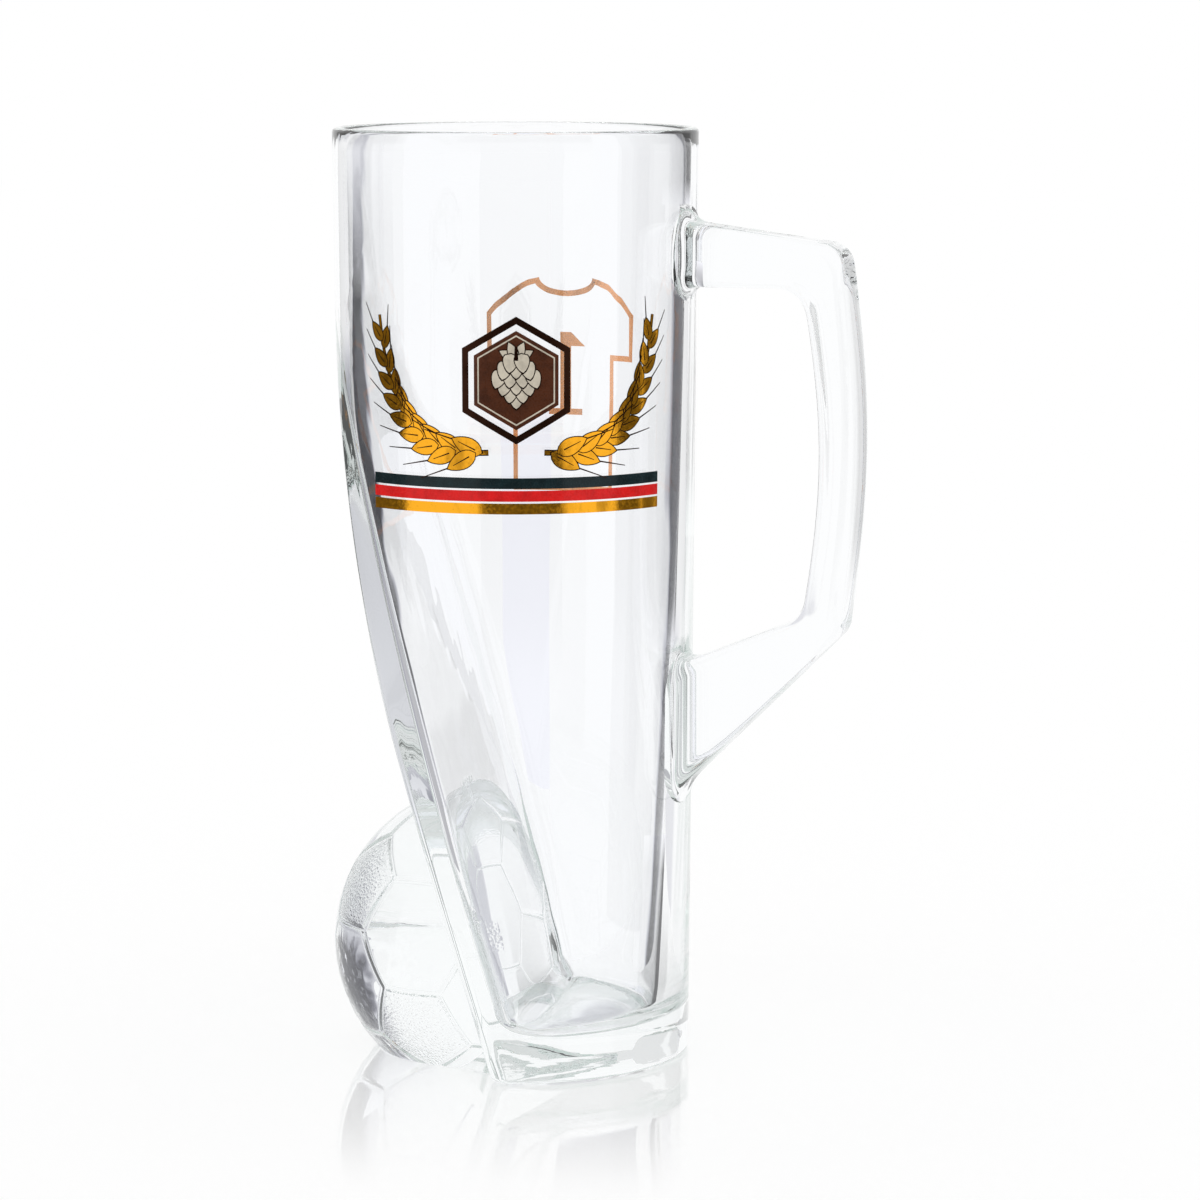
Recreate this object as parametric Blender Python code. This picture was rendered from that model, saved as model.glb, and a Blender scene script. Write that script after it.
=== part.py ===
"""Half-litre football beer mug in pressed glass, with a fired enamel print on its front and back.

The vessel is a tall, slightly tapered tumbler whose side opposite the handle is pressed flat: a facet that
leans inwards towards the foot. A glass football sits against the foot of the facet and carries that side.
All sizes are in metres. The model stands on z = 0 with +Z up, the handle towards +X and the football
towards -X. Pieces are modelled about the vessel's axis, which stands beside the middle of the whole mug.
"""

import math

import bmesh
import bpy
from mathutils import Matrix, Vector

# Vessel
HEIGHT = 0.2045
RIM_RADIUS = 0.040
FOOT_RADIUS = 0.0382
RIM_WALL = 0.0025
LIP_HEIGHT = 0.0010
FOOT_WALL = 0.0080
FLOOR_THICKNESS = 0.0085
FLOOR_FILLET = 0.0050
FOOT_BEVEL = 0.0012
OUTER_CORNER = 0.0040
INNER_CORNER = 0.0050

# Facet: a slight hollow above the foot, then a long swell that runs out at the rim. It is turned a little from
# straight opposite the handle, and the football with it
FACET_TURN = math.radians(5.0)
FACET_FOOT_X = 0.0032
FACET_FOOT_LEAN = math.radians(16.0)
FACET_BEND_LEAN = math.radians(18.0)
FACET_BEND_Z = 0.066
FACET_SWELL_RADIUS = 0.470
FACET_FADE_Z = (0.150, 0.199)

# Hollow: its flat is a plain one, with at least so much glass between it and the facet
HOLLOW_FLAT_X = 0.0057
HOLLOW_FLAT_LEAN = math.radians(14.0)
FACET_WALL = 0.0022

# Football: a ball cut flat where it stands, with a low web to the foot of the vessel
BALL_RADIUS = 0.0345
BALL_X = -0.0066
BALL_Z = 0.0240
WEB_HEIGHT = 0.0045
WEB_END_X = 0.0060
WEB_END_HALF_WIDTH = 0.0310

# Handle: an angular loop of flat bar with rounded edges
HANDLE_REACH = 0.0790
HANDLE_WIDTH = 0.0130
HANDLE_EDGE_RADIUS = 0.0030
HANDLE_SEAT_X = 0.0300
UPPER_ARM_TOP = (0.1860, 0.1802)
UPPER_ARM_UNDERSIDE = 0.1707
LOWER_ARM_TOP = (0.0850, 0.1000)
LOWER_ARM_UNDERSIDE = (0.0520, 0.0970)
GRIP_TOP_X = 0.0752
GRIP_FOOT_X = 0.0755
GRIP_DEPTH = 0.0087
GRIP_INNER_CORNER = 0.0070
GRIP_OUTER_CORNER = 0.0055

# Print: enamel films, thick enough here to be solids
FILM_GAP = 0.0003
FILM_THICKNESS = 0.00025
FILM_STEP = 0.0030
FRONT_ANGLE = math.radians(-70.0)
BACK_ANGLE = math.radians(92.4)

# Front print: hexagonal badge between two barley ears, over three stripes
BADGE_Z = 0.1525
BADGE_RADIUS = 0.0105
BADGE_FRAME_GAP = 0.0012
BADGE_FRAME_WIDTH = 0.0014
EAR_START = (0.0060, 0.1372)
EAR_TURN = (0.0300, 0.1352)
EAR_TIP = (0.0330, 0.1675)
EAR_GRAINS = 8
EAR_STEM_HALF_WIDTH = 0.0007
EAR_GRAIN_HALF_WIDTH = 0.0048
EAR_TAPER = 0.45
GRAIN_PROFILE = ((0.0, 0.30), (0.25, 0.62), (0.60, 0.86), (0.95, 0.98), (1.40, 1.05))
STRIPE_TOP_Z = 0.1318
STRIPE_HEIGHT = 0.0023
STRIPE_GAP = 0.0004
STRIPE_HALF_LENGTH = 0.0350

# Back print: outline of a football shirt with a plain numeral
SHIRT_TOP_Z = 0.1690
SHIRT_HEIGHT = 0.0491
SHIRT_HALF_WIDTH = 0.0195
SHIRT_BODY_HALF_WIDTH = 0.0131
SHIRT_SHOULDER_DROP = 0.0080
SHIRT_CUFF_DROP = 0.0187
SHIRT_SHOULDER_BEND = 1.6
SHIRT_NECK_HALF_WIDTH = 0.0067
SHIRT_NECK_DROP = 0.0030
SHIRT_LINE = 0.0013
NUMERAL_HEIGHT = 0.0190
NUMERAL_TOP_Z = 0.1565
NUMERAL_STROKE = 0.0030
NUMERAL_FLAG = 0.0032
NUMERAL_FOOT_HALF_WIDTH = 0.0042
NUMERAL_FOOT_HEIGHT = 0.0014

# Fineness of round shapes; the vessel's section shares its points among wall, corner and flat
AROUND = 60
SECTION_SHARES = (0.64, 0.10, 0.26)
WALL_STEPS = 11
FILLET_STEPS = 3
LIP_STEPS = 4
BALL_SEGMENTS = 40
BALL_RINGS = 20
GRIP_STEPS = 8
CORNER_STEPS = 4
EDGE_STEPS = 3
NECK_STEPS = 4
SHOULDER_STEPS = 4
SHARP_ANGLE = math.radians(35.0)
SIDE_TILT = math.radians(10.0)
JOINT_GAP = 0.0003
CUTTER_MARGIN = 0.0050

# The vessel's axis stands where the box round the ball and the handle is centred on the origin
AXIS_X = (BALL_RADIUS - BALL_X * math.cos(FACET_TURN) - HANDLE_REACH) / 2

COLOURS = {
    "glass_body": ((0.93, 0.96, 0.95), 0.03, 0.0),
    "handle": ((0.90, 0.95, 0.93), 0.03, 0.0),
    "football": ((0.88, 0.93, 0.91), 0.15, 0.0),
    "badge_plate": ((0.13, 0.035, 0.012), 0.25, 0.0),
    "badge_frame": ((0.20, 0.06, 0.015), 0.20, 0.6),
    "barley_left": ((0.95, 0.55, 0.05), 0.15, 1.0),
    "barley_right": ((0.95, 0.55, 0.05), 0.15, 1.0),
    "stripe_black": ((0.01, 0.012, 0.014), 0.25, 0.0),
    "stripe_red": ((0.75, 0.01, 0.01), 0.25, 0.0),
    "stripe_gold": ((0.95, 0.55, 0.05), 0.15, 1.0),
    "shirt_outline": ((0.72, 0.30, 0.13), 0.20, 1.0),
    "shirt_numeral": ((0.80, 0.42, 0.18), 0.20, 1.0),
}


def blend(start, end, share):
    return start + (end - start) * share


def wall_radius(z):
    """Outside radius of the vessel, which tapers towards the foot."""
    return blend(FOOT_RADIUS, RIM_RADIUS, z / HEIGHT)


def wall_thickness(z):
    """Thickness of the wall, which gathers towards the foot."""
    return blend(RIM_WALL, FOOT_WALL, (1 - z / HEIGHT) ** 2)


def facet_lean(z):
    """Angle of the facet from upright at height z, along the hollow and then along the swell."""
    foot, bend = math.sin(FACET_FOOT_LEAN), math.sin(FACET_BEND_LEAN)
    if z <= FACET_BEND_Z:
        return math.asin(blend(foot, bend, z / FACET_BEND_Z))
    return math.asin(max(bend - (z - FACET_BEND_Z) / FACET_SWELL_RADIUS, 0.0))


def facet_x(z):
    """Where the facet's surface lies at height z, on the -X side of the axis once it is above the foot."""
    hollow_radius = FACET_BEND_Z / (math.sin(FACET_BEND_LEAN) - math.sin(FACET_FOOT_LEAN))
    hollow_z = min(z, FACET_BEND_Z)
    x = FACET_FOOT_X - hollow_radius * (math.cos(FACET_FOOT_LEAN) - math.cos(facet_lean(hollow_z)))
    if z > FACET_BEND_Z:
        x -= FACET_SWELL_RADIUS * (math.cos(facet_lean(z)) - math.cos(FACET_BEND_LEAN))
    return x


def aligned(place):
    """A place turned with the facet."""
    return Matrix.Rotation(FACET_TURN, 3, "Z") @ Vector(place)


def outside(z, inset=0.0):
    """Section of the outside, or of one inset from it: its height, radius, flat and corner radius."""
    return z, wall_radius(z) - inset, facet_x(z) + inset / math.cos(facet_lean(z)), OUTER_CORNER


def inside(z, rounding=0.0):
    """Section of the hollow, drawn in where the floor's edge is rounded."""
    thinnest = facet_x(z) + FACET_WALL / math.cos(facet_lean(z))
    flat = max(HOLLOW_FLAT_X - z * math.tan(HOLLOW_FLAT_LEAN), thinnest)
    return z, wall_radius(z) - wall_thickness(z) - rounding, flat + rounding, INNER_CORNER


def section_point(level, turn):
    """Point at a share of a turn round the vessel's section: a circle with one flat side, corners rounded.

    The section starts on the handle's side. Each stretch of it, the wall, the corner and the flat, keeps its
    share of the points, except near the rim, where the flat runs out.
    """
    z, radius, flat, corner = level
    flat = max(flat, -radius)
    centre_x = flat + corner
    centre_y = math.sqrt(max((radius - corner) ** 2 - centre_x**2, 0.0))
    bend = math.atan2(centre_y, centre_x)
    lengths = (radius * bend, corner * (math.pi - bend), centre_y)
    share, side = (2 * turn, 1.0) if turn <= 0.5 else (2 - 2 * turn, -1.0)
    shared, start = 0.0, 0.0
    for length, part in zip(lengths, SECTION_SHARES):
        shared += length * min(max((share - start) / part, 0.0), 1.0)
        start += part
    fade = min(max((FACET_FADE_Z[1] - z) / (FACET_FADE_Z[1] - FACET_FADE_Z[0]), 0.0), 1.0)
    along = blend(sum(lengths) * share, shared, fade)
    if along < lengths[0]:
        x, y = radius * math.cos(along / radius), radius * math.sin(along / radius)
    elif along < lengths[0] + lengths[1]:
        angle = bend + (along - lengths[0]) / corner
        x, y = centre_x + corner * math.cos(angle), centre_y + corner * math.sin(angle)
    else:
        x, y = flat, sum(lengths) - along
    return aligned((x, side * y, z))


def skin(levels):
    """Closed solid through sections of the vessel."""
    mesh = bmesh.new()
    turn = mesh.verts.layers.float.new("turn")
    ring = bmesh.ops.create_circle(mesh, segments=AROUND, radius=1.0)["verts"]
    for index, vert in enumerate(ring):
        vert[turn] = index / AROUND
    edges = mesh.edges[:]
    bmesh.ops.contextual_create(mesh, geom=edges)
    for number, level in enumerate(levels):
        if number:
            grown = bmesh.ops.extrude_edge_only(mesh, edges=edges)["geom"]
            ring = [item for item in grown if isinstance(item, bmesh.types.BMVert)]
            edges = [item for item in grown if isinstance(item, bmesh.types.BMEdge)]
            edges = [edge for edge in edges if all(vert in ring for vert in edge.verts)]
        for vert in ring:
            vert.co = section_point(level, vert[turn])
    bmesh.ops.contextual_create(mesh, geom=edges)
    bmesh.ops.recalc_face_normals(mesh, faces=mesh.faces)
    return mesh


def vessel_levels():
    """Sections from under the foot up the outside, over the lip and down the inside to the floor."""
    levels = [outside(0.0, FOOT_BEVEL), outside(FOOT_BEVEL)]
    lip = RIM_WALL / 2
    shoulder = HEIGHT - LIP_HEIGHT
    for step in range(1, WALL_STEPS + 1):
        levels.append(outside(blend(FOOT_BEVEL, shoulder, step / WALL_STEPS)))
    for step in range(1, LIP_STEPS + 1):
        angle = math.pi * step / LIP_STEPS
        levels.append(outside(shoulder + LIP_HEIGHT * math.sin(angle), lip * (1 - math.cos(angle))))
    fillet_top = FLOOR_THICKNESS + FLOOR_FILLET
    for step in range(1, WALL_STEPS + 1):
        levels.append(inside(blend(shoulder, fillet_top, step / WALL_STEPS)))
    for step in range(1, FILLET_STEPS + 1):
        angle = math.pi / 2 * step / FILLET_STEPS
        levels.append(inside(fillet_top - FLOOR_FILLET * math.sin(angle), FLOOR_FILLET * (1 - math.cos(angle))))
    return levels


def core_levels():
    """The vessel's outside as a full solid, grown by the joint gap, to seat the handle and the football."""
    heights = [blend(-CUTTER_MARGIN, HEIGHT, step / WALL_STEPS) for step in range(WALL_STEPS + 1)]
    return [outside(z, -JOINT_GAP) for z in heights]


def finish_mesh(mesh, name):
    """Object for a modelled piece, standing on the vessel's axis and shaded smooth between sharp edges."""
    data = bpy.data.meshes.new(name)
    mesh.to_mesh(data)
    mesh.free()
    data.shade_smooth()
    data.set_sharp_from_angle(angle=SHARP_ANGLE)
    piece = bpy.data.objects.new(name, data)
    bpy.context.collection.objects.link(piece)
    return piece


def coat(piece):
    """Gives a piece its own material, in its colour, roughness and metallic value."""
    colour, roughness, metallic = COLOURS[piece.name]
    material = bpy.data.materials.new(piece.name)
    material.use_nodes = True
    shader = material.node_tree.nodes["Principled BSDF"]
    shader.inputs["Base Color"].default_value = (*colour, 1.0)
    shader.inputs["Roughness"].default_value = roughness
    shader.inputs["Metallic"].default_value = metallic
    piece.data.materials.append(material)


def helper(mesh, name):
    """Object that only shapes others."""
    piece = finish_mesh(mesh, name)
    piece.hide_render = True
    piece.display_type = "WIRE"
    return piece


def combine(piece, other, operation):
    boolean = piece.modifiers.new(other.name, "BOOLEAN")
    boolean.operation = operation
    boolean.solver = "EXACT"
    boolean.object = other


def flat_solid(outline, thickness, axis):
    """Solid with a flat outline of (across, up) points, extruded along an axis vector."""
    mesh = bmesh.new()
    across = Vector((1.0, 0.0, 0.0))
    up = axis.cross(across)
    corners = [mesh.verts.new(across * u + up * v - axis * (thickness / 2)) for u, v in outline]
    face = mesh.faces.new(corners)
    grown = bmesh.ops.extrude_face_region(mesh, geom=[face])["geom"]
    bmesh.ops.translate(
        mesh, vec=axis * thickness, verts=[item for item in grown if isinstance(item, bmesh.types.BMVert)]
    )
    bmesh.ops.recalc_face_normals(mesh, faces=mesh.faces)
    return mesh


def rounded(corners):
    """Outline with an arc at each corner whose radius isn't zero; a corner is its point and radius."""
    outline = []
    for index, (point, radius) in enumerate(corners):
        here = Vector(point)
        if not radius:
            outline.append(tuple(here))
            continue
        back = (Vector(corners[index - 1][0]) - here).normalized()
        ahead = (Vector(corners[(index + 1) % len(corners)][0]) - here).normalized()
        half = back.angle(ahead) / 2
        centre = here + (back + ahead).normalized() * (radius / math.sin(half))
        start = (here + back * (radius / math.tan(half)) - centre).normalized()
        end = (here + ahead * (radius / math.tan(half)) - centre).normalized()
        for step in range(CORNER_STEPS + 1):
            outline.append(tuple(centre + start.slerp(end, step / CORNER_STEPS) * radius))
    return outline


def bowed(foot, top, bow):
    """Points of a shallow bow between two points, which stands out towards +X at its middle."""
    points = []
    for step in range(1, GRIP_STEPS):
        share = step / GRIP_STEPS
        x = blend(foot[0], top[0], share) + bow * math.sin(math.pi * share)
        points.append(((x, blend(foot[1], top[1], share)), 0.0))
    return points


def handle_outline():
    """The loop's outline in the XZ plane, from the lower root round the outside and back along the inside."""
    bow = HANDLE_REACH - (GRIP_FOOT_X + GRIP_TOP_X) / 2
    outer_foot, outer_top = (GRIP_FOOT_X, LOWER_ARM_UNDERSIDE[1]), (GRIP_TOP_X, UPPER_ARM_TOP[1])
    inner_foot = (GRIP_FOOT_X - GRIP_DEPTH, LOWER_ARM_TOP[1])
    inner_top = (GRIP_TOP_X - GRIP_DEPTH, UPPER_ARM_UNDERSIDE)
    corners = [((HANDLE_SEAT_X, LOWER_ARM_UNDERSIDE[0]), 0.0), (outer_foot, GRIP_OUTER_CORNER)]
    corners += bowed(outer_foot, outer_top, bow)
    corners += [(outer_top, GRIP_OUTER_CORNER), ((HANDLE_SEAT_X, UPPER_ARM_TOP[0]), 0.0)]
    corners += [((HANDLE_SEAT_X, UPPER_ARM_UNDERSIDE), 0.0), (inner_top, GRIP_INNER_CORNER)]
    corners += reversed(bowed(inner_foot, inner_top, bow))
    corners += [(inner_foot, GRIP_INNER_CORNER), ((HANDLE_SEAT_X, LOWER_ARM_TOP[0]), 0.0)]
    return rounded(corners)


def make_handle(core):
    mesh = flat_solid(handle_outline(), HANDLE_WIDTH, Vector((0.0, -1.0, 0.0)))
    sides = [face for face in mesh.faces if abs(face.normal.y) > math.cos(SIDE_TILT)]
    rims = {edge for face in sides for edge in face.edges}
    rims = [edge for edge in rims if any(vert.co.x > HANDLE_SEAT_X for vert in edge.verts)]
    bmesh.ops.bevel(
        mesh,
        geom=rims,
        offset=HANDLE_EDGE_RADIUS,
        segments=EDGE_STEPS,
        profile=0.5,
        affect="EDGES",
        material=-1,
    )
    bmesh.ops.recalc_face_normals(mesh, faces=mesh.faces)
    handle = finish_mesh(mesh, "handle")
    combine(handle, core, "DIFFERENCE")
    return handle


def make_football(core):
    mesh = bmesh.new()
    bmesh.ops.create_uvsphere(mesh, u_segments=BALL_SEGMENTS, v_segments=BALL_RINGS, radius=BALL_RADIUS)
    bmesh.ops.translate(mesh, vec=aligned((BALL_X, 0.0, BALL_Z)), verts=mesh.verts)
    cut = bmesh.ops.bisect_plane(
        mesh, geom=mesh.verts[:] + mesh.edges[:] + mesh.faces[:], plane_no=Vector((0.0, 0.0, 1.0)),
        clear_inner=True,
    )["geom_cut"]
    bmesh.ops.contextual_create(mesh, geom=[item for item in cut if isinstance(item, bmesh.types.BMEdge)])
    bmesh.ops.recalc_face_normals(mesh, faces=mesh.faces)
    football = finish_mesh(mesh, "football")
    ball_foot = math.sqrt(BALL_RADIUS**2 - BALL_Z**2)
    outline = [
        (BALL_X, -ball_foot),
        (WEB_END_X, -WEB_END_HALF_WIDTH),
        (WEB_END_X, WEB_END_HALF_WIDTH),
        (BALL_X, ball_foot),
    ]
    web_mesh = flat_solid(outline, WEB_HEIGHT, Vector((0.0, 0.0, 1.0)))
    bmesh.ops.translate(web_mesh, vec=Vector((0.0, 0.0, WEB_HEIGHT / 2)), verts=web_mesh.verts)
    bmesh.ops.rotate(web_mesh, matrix=Matrix.Rotation(FACET_TURN, 3, "Z"), verts=web_mesh.verts)
    combine(football, helper(web_mesh, "web_former"), "UNION")
    combine(football, core, "DIFFERENCE")
    return football


def wrap(mesh, name, angle):
    """Wraps a flat film round the vessel: across runs along the wall and depth stands off it."""
    low = min(vert.co.x for vert in mesh.verts)
    high = max(vert.co.x for vert in mesh.verts)
    for step in range(1, math.ceil((high - low) / FILM_STEP)):
        bmesh.ops.bisect_plane(
            mesh,
            geom=mesh.verts[:] + mesh.edges[:] + mesh.faces[:],
            plane_co=Vector((low + FILM_STEP * step, 0.0, 0.0)),
            plane_no=Vector((1.0, 0.0, 0.0)),
        )
    for vert in mesh.verts:
        across, depth, up = vert.co
        radius = wall_radius(up) + FILM_GAP + FILM_THICKNESS / 2 - depth
        turn = angle + across / RIM_RADIUS
        vert.co = Vector((radius * math.cos(turn), radius * math.sin(turn), up))
    bmesh.ops.recalc_face_normals(mesh, faces=mesh.faces)
    return finish_mesh(mesh, name)


def film(name, outline, angle):
    return wrap(flat_solid(outline, FILM_THICKNESS, Vector((0.0, -1.0, 0.0))), name, angle)


def line_film(name, outline, width, angle):
    """Film along the inside of a closed outline, as wide as the line."""
    mesh = bmesh.new()
    face = mesh.faces.new([mesh.verts.new((across, 0.0, up)) for across, up in outline])
    mesh.normal_update()
    bmesh.ops.inset_region(mesh, faces=[face], thickness=width, use_boundary=True, use_even_offset=True)
    bmesh.ops.delete(mesh, geom=[face], context="FACES")
    grown = bmesh.ops.extrude_face_region(mesh, geom=mesh.faces[:])["geom"]
    near = [item for item in grown if isinstance(item, bmesh.types.BMVert)]
    bmesh.ops.translate(mesh, vec=Vector((0.0, -FILM_THICKNESS, 0.0)), verts=near)
    bmesh.ops.translate(mesh, vec=Vector((0.0, FILM_THICKNESS / 2, 0.0)), verts=mesh.verts)
    bmesh.ops.recalc_face_normals(mesh, faces=mesh.faces)
    return wrap(mesh, name, angle)


def hexagon(radius):
    angles = [math.pi / 6 + math.pi / 3 * index for index in range(6)]
    return [(radius * math.cos(angle), BADGE_Z + radius * math.sin(angle)) for angle in angles]


def ear_outline(side):
    """Barbed outline of a barley ear along a curved stem, with a row of grains on either side of it."""
    start, turn, tip = (Vector((side * across, up)) for across, up in (EAR_START, EAR_TURN, EAR_TIP))
    left, right = [], []
    for grain in range(EAR_GRAINS):
        size = blend(1.0, EAR_TAPER, grain / (EAR_GRAINS - 1))
        for along, out in GRAIN_PROFILE:
            share = min((grain + along) / EAR_GRAINS, 1.0)
            point = start * (1 - share) ** 2 + turn * (2 * share * (1 - share)) + tip * share**2
            tangent = ((turn - start) * (1 - share) + (tip - turn) * share).normalized()
            half = blend(EAR_STEM_HALF_WIDTH, EAR_GRAIN_HALF_WIDTH * size, out)
            across = Vector((-tangent.y, tangent.x)) * half
            left.append(tuple(point + across))
            right.append(tuple(point - across))
    return left + right[::-1]


def stripe_outline(order):
    top = STRIPE_TOP_Z - order * (STRIPE_HEIGHT + STRIPE_GAP)
    low = top - STRIPE_HEIGHT
    reach = STRIPE_HALF_LENGTH
    return [(-reach, low), (reach, low), (reach, top), (-reach, top)]


def shirt_outline():
    """A plain short-sleeved shirt with a round neck."""
    cuff, foot = SHIRT_TOP_Z - SHIRT_CUFF_DROP, SHIRT_TOP_Z - SHIRT_HEIGHT
    half = []
    for step in range(NECK_STEPS + 1):
        angle = math.pi / 2 * (step + 0.5) / (NECK_STEPS + 0.5)
        scoop = SHIRT_NECK_DROP * math.cos(angle)
        half.append((SHIRT_NECK_HALF_WIDTH * math.sin(angle), SHIRT_TOP_Z - scoop))
    reach = SHIRT_HALF_WIDTH - SHIRT_NECK_HALF_WIDTH
    for step in range(1, SHOULDER_STEPS + 1):
        out = step / SHOULDER_STEPS
        drop = SHIRT_SHOULDER_DROP * out**SHIRT_SHOULDER_BEND
        half.append((SHIRT_NECK_HALF_WIDTH + reach * out, SHIRT_TOP_Z - drop))
    half += [
        (SHIRT_HALF_WIDTH, cuff),
        (SHIRT_BODY_HALF_WIDTH, cuff),
        (SHIRT_BODY_HALF_WIDTH, foot),
    ]
    return half + [(-across, up) for across, up in reversed(half)]


def numeral_outline():
    """A plain upright one with a flag and a foot."""
    half = NUMERAL_STROKE / 2
    foot = NUMERAL_TOP_Z - NUMERAL_HEIGHT
    ledge = foot + NUMERAL_FOOT_HEIGHT
    reach = NUMERAL_FOOT_HALF_WIDTH
    return [
        (-reach, foot),
        (reach, foot),
        (reach, ledge),
        (half, ledge),
        (half, NUMERAL_TOP_Z),
        (-half, NUMERAL_TOP_Z),
        (-half - NUMERAL_FLAG, NUMERAL_TOP_Z - NUMERAL_FLAG),
        (-half, NUMERAL_TOP_Z - NUMERAL_FLAG),
        (-half, ledge),
        (-reach, ledge),
    ]


def make_print():
    """Every enamel film of the front and back print."""
    frame_radius = BADGE_RADIUS + (BADGE_FRAME_GAP + BADGE_FRAME_WIDTH) / math.cos(math.pi / 6)
    films = [
        film("badge_plate", hexagon(BADGE_RADIUS), FRONT_ANGLE),
        line_film("badge_frame", hexagon(frame_radius), BADGE_FRAME_WIDTH, FRONT_ANGLE),
        film("barley_left", ear_outline(-1.0), FRONT_ANGLE),
        film("barley_right", ear_outline(1.0), FRONT_ANGLE),
        line_film("shirt_outline", shirt_outline(), SHIRT_LINE, BACK_ANGLE),
        film("shirt_numeral", numeral_outline(), BACK_ANGLE),
    ]
    for order, name in enumerate(("stripe_black", "stripe_red", "stripe_gold")):
        films.append(film(name, stripe_outline(order), FRONT_ANGLE))
    return films


def main():
    for old in list(bpy.data.objects):
        bpy.data.objects.remove(old, do_unlink=True)
    axis = bpy.data.objects.new("vessel_axis", None)
    axis.matrix_world = Matrix.Translation((AXIS_X, 0.0, 0.0))
    bpy.context.collection.objects.link(axis)
    core = helper(skin(core_levels()), "vessel_core")
    pieces = [finish_mesh(skin(vessel_levels()), "glass_body"), make_handle(core), make_football(core)]
    pieces += make_print()
    for piece in pieces:
        coat(piece)
    for piece in bpy.data.objects:
        if piece is not axis:
            piece.parent = axis


main()
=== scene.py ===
import math

import bmesh
import bpy
from bpy.props import FloatProperty, FloatVectorProperty, IntProperty, PointerProperty
from mathutils import Matrix, Vector


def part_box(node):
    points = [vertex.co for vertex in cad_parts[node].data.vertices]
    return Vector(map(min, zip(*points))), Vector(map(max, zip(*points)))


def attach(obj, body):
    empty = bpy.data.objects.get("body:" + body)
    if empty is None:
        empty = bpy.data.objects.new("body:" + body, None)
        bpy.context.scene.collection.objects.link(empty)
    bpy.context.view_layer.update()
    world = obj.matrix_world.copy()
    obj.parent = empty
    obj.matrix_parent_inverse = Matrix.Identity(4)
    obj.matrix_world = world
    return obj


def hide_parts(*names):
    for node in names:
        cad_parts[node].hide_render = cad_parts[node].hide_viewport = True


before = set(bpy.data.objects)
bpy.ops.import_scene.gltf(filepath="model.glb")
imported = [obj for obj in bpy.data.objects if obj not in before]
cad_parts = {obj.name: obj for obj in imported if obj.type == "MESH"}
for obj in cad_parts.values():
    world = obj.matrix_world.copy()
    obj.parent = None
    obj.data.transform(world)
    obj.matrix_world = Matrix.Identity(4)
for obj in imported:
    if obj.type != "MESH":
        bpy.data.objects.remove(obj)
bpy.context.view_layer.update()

bl_info = {
    "name": "Football Beer Mug",
    "version": (1, 0, 0),
    "blender": (4, 5, 0),
    "location": "3D View > Sidebar > Beer Mug",
    "description": "Pressed-glass football beer mug with a fired print, made around its CAD model",
    "category": "Object",
}

BODY_LOW, BODY_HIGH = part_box("glass_body")
BODY_RADIUS = (BODY_HIGH.y - BODY_LOW.y) / 2
AXIS_X = BODY_HIGH.x - BODY_RADIUS
HANDLE_LOW, HANDLE_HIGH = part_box("handle")


def length(name, description, default):
    return FloatProperty(name=name, description=description, default=default, unit="LENGTH", precision=5)


def turn(name, description, degrees):
    return FloatProperty(name=name, description=description, default=math.radians(degrees), subtype="ANGLE")


def share(name, description, default):
    return FloatProperty(name=name, description=description, default=default, min=0.0, subtype="FACTOR")


def colour(name, description, default):
    return FloatVectorProperty(
        name=name, description=description, default=default, subtype="COLOR", size=3, min=0.0, max=1.0
    )


class MugVesselSizes(bpy.types.PropertyGroup):
    """Sizes of the tumbler and of the flat pressed into its side."""

    height: length("Height", "Height of the rim", BODY_HIGH.z)
    rim_radius: length("Rim radius", "Outside radius at the rim", BODY_RADIUS)
    foot_radius: length("Foot radius", "Outside radius at the foot", 0.0382)
    rim_wall: length("Rim wall", "Thickness of the wall at the rim", 0.0025)
    foot_wall: length("Foot wall", "Thickness of the wall at the foot", 0.0080)
    facet_wall: length("Facet wall", "Least thickness of the wall behind the facet", 0.0022)
    lip_height: length("Lip height", "Height over which the lip is rounded", 0.0010)
    floor_thickness: length("Floor", "Thickness of the floor", 0.0085)
    floor_fillet: length("Floor fillet", "Radius between floor and wall", 0.0050)
    foot_bevel: length("Foot rounding", "Rounding of the foot's edge", 0.0012)
    outer_corner: length("Outer corner", "Outside radius where the facet meets the wall", 0.0040)
    inner_corner: length("Inner corner", "Radius where the hollow's flat meets its wall", 0.0050)
    inner_flat_x: length("Inner flat", "Distance of the hollow's flat from the axis at the foot", 0.0057)
    inner_flat_lean: turn("Inner flat lean", "Lean of the hollow's flat, which is a plane", 14.0)
    facet_foot_x: length("Facet foot", "Distance of the facet from the axis at the foot", 0.0032)
    facet_foot_lean: turn("Facet foot lean", "Lean of the facet at the foot", 16.0)
    facet_bend_lean: turn("Facet bend lean", "Lean of the facet at its bend", 18.0)
    facet_bend_z: length("Facet bend", "Height where the facet's hollow turns into its swell", 0.066)
    facet_swell_radius: length("Facet swell", "Radius of the facet's swell", 0.470)
    facet_turn: turn("Facet turn", "Turn of the facet and the ball from straight opposite the handle", 5.0)


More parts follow.
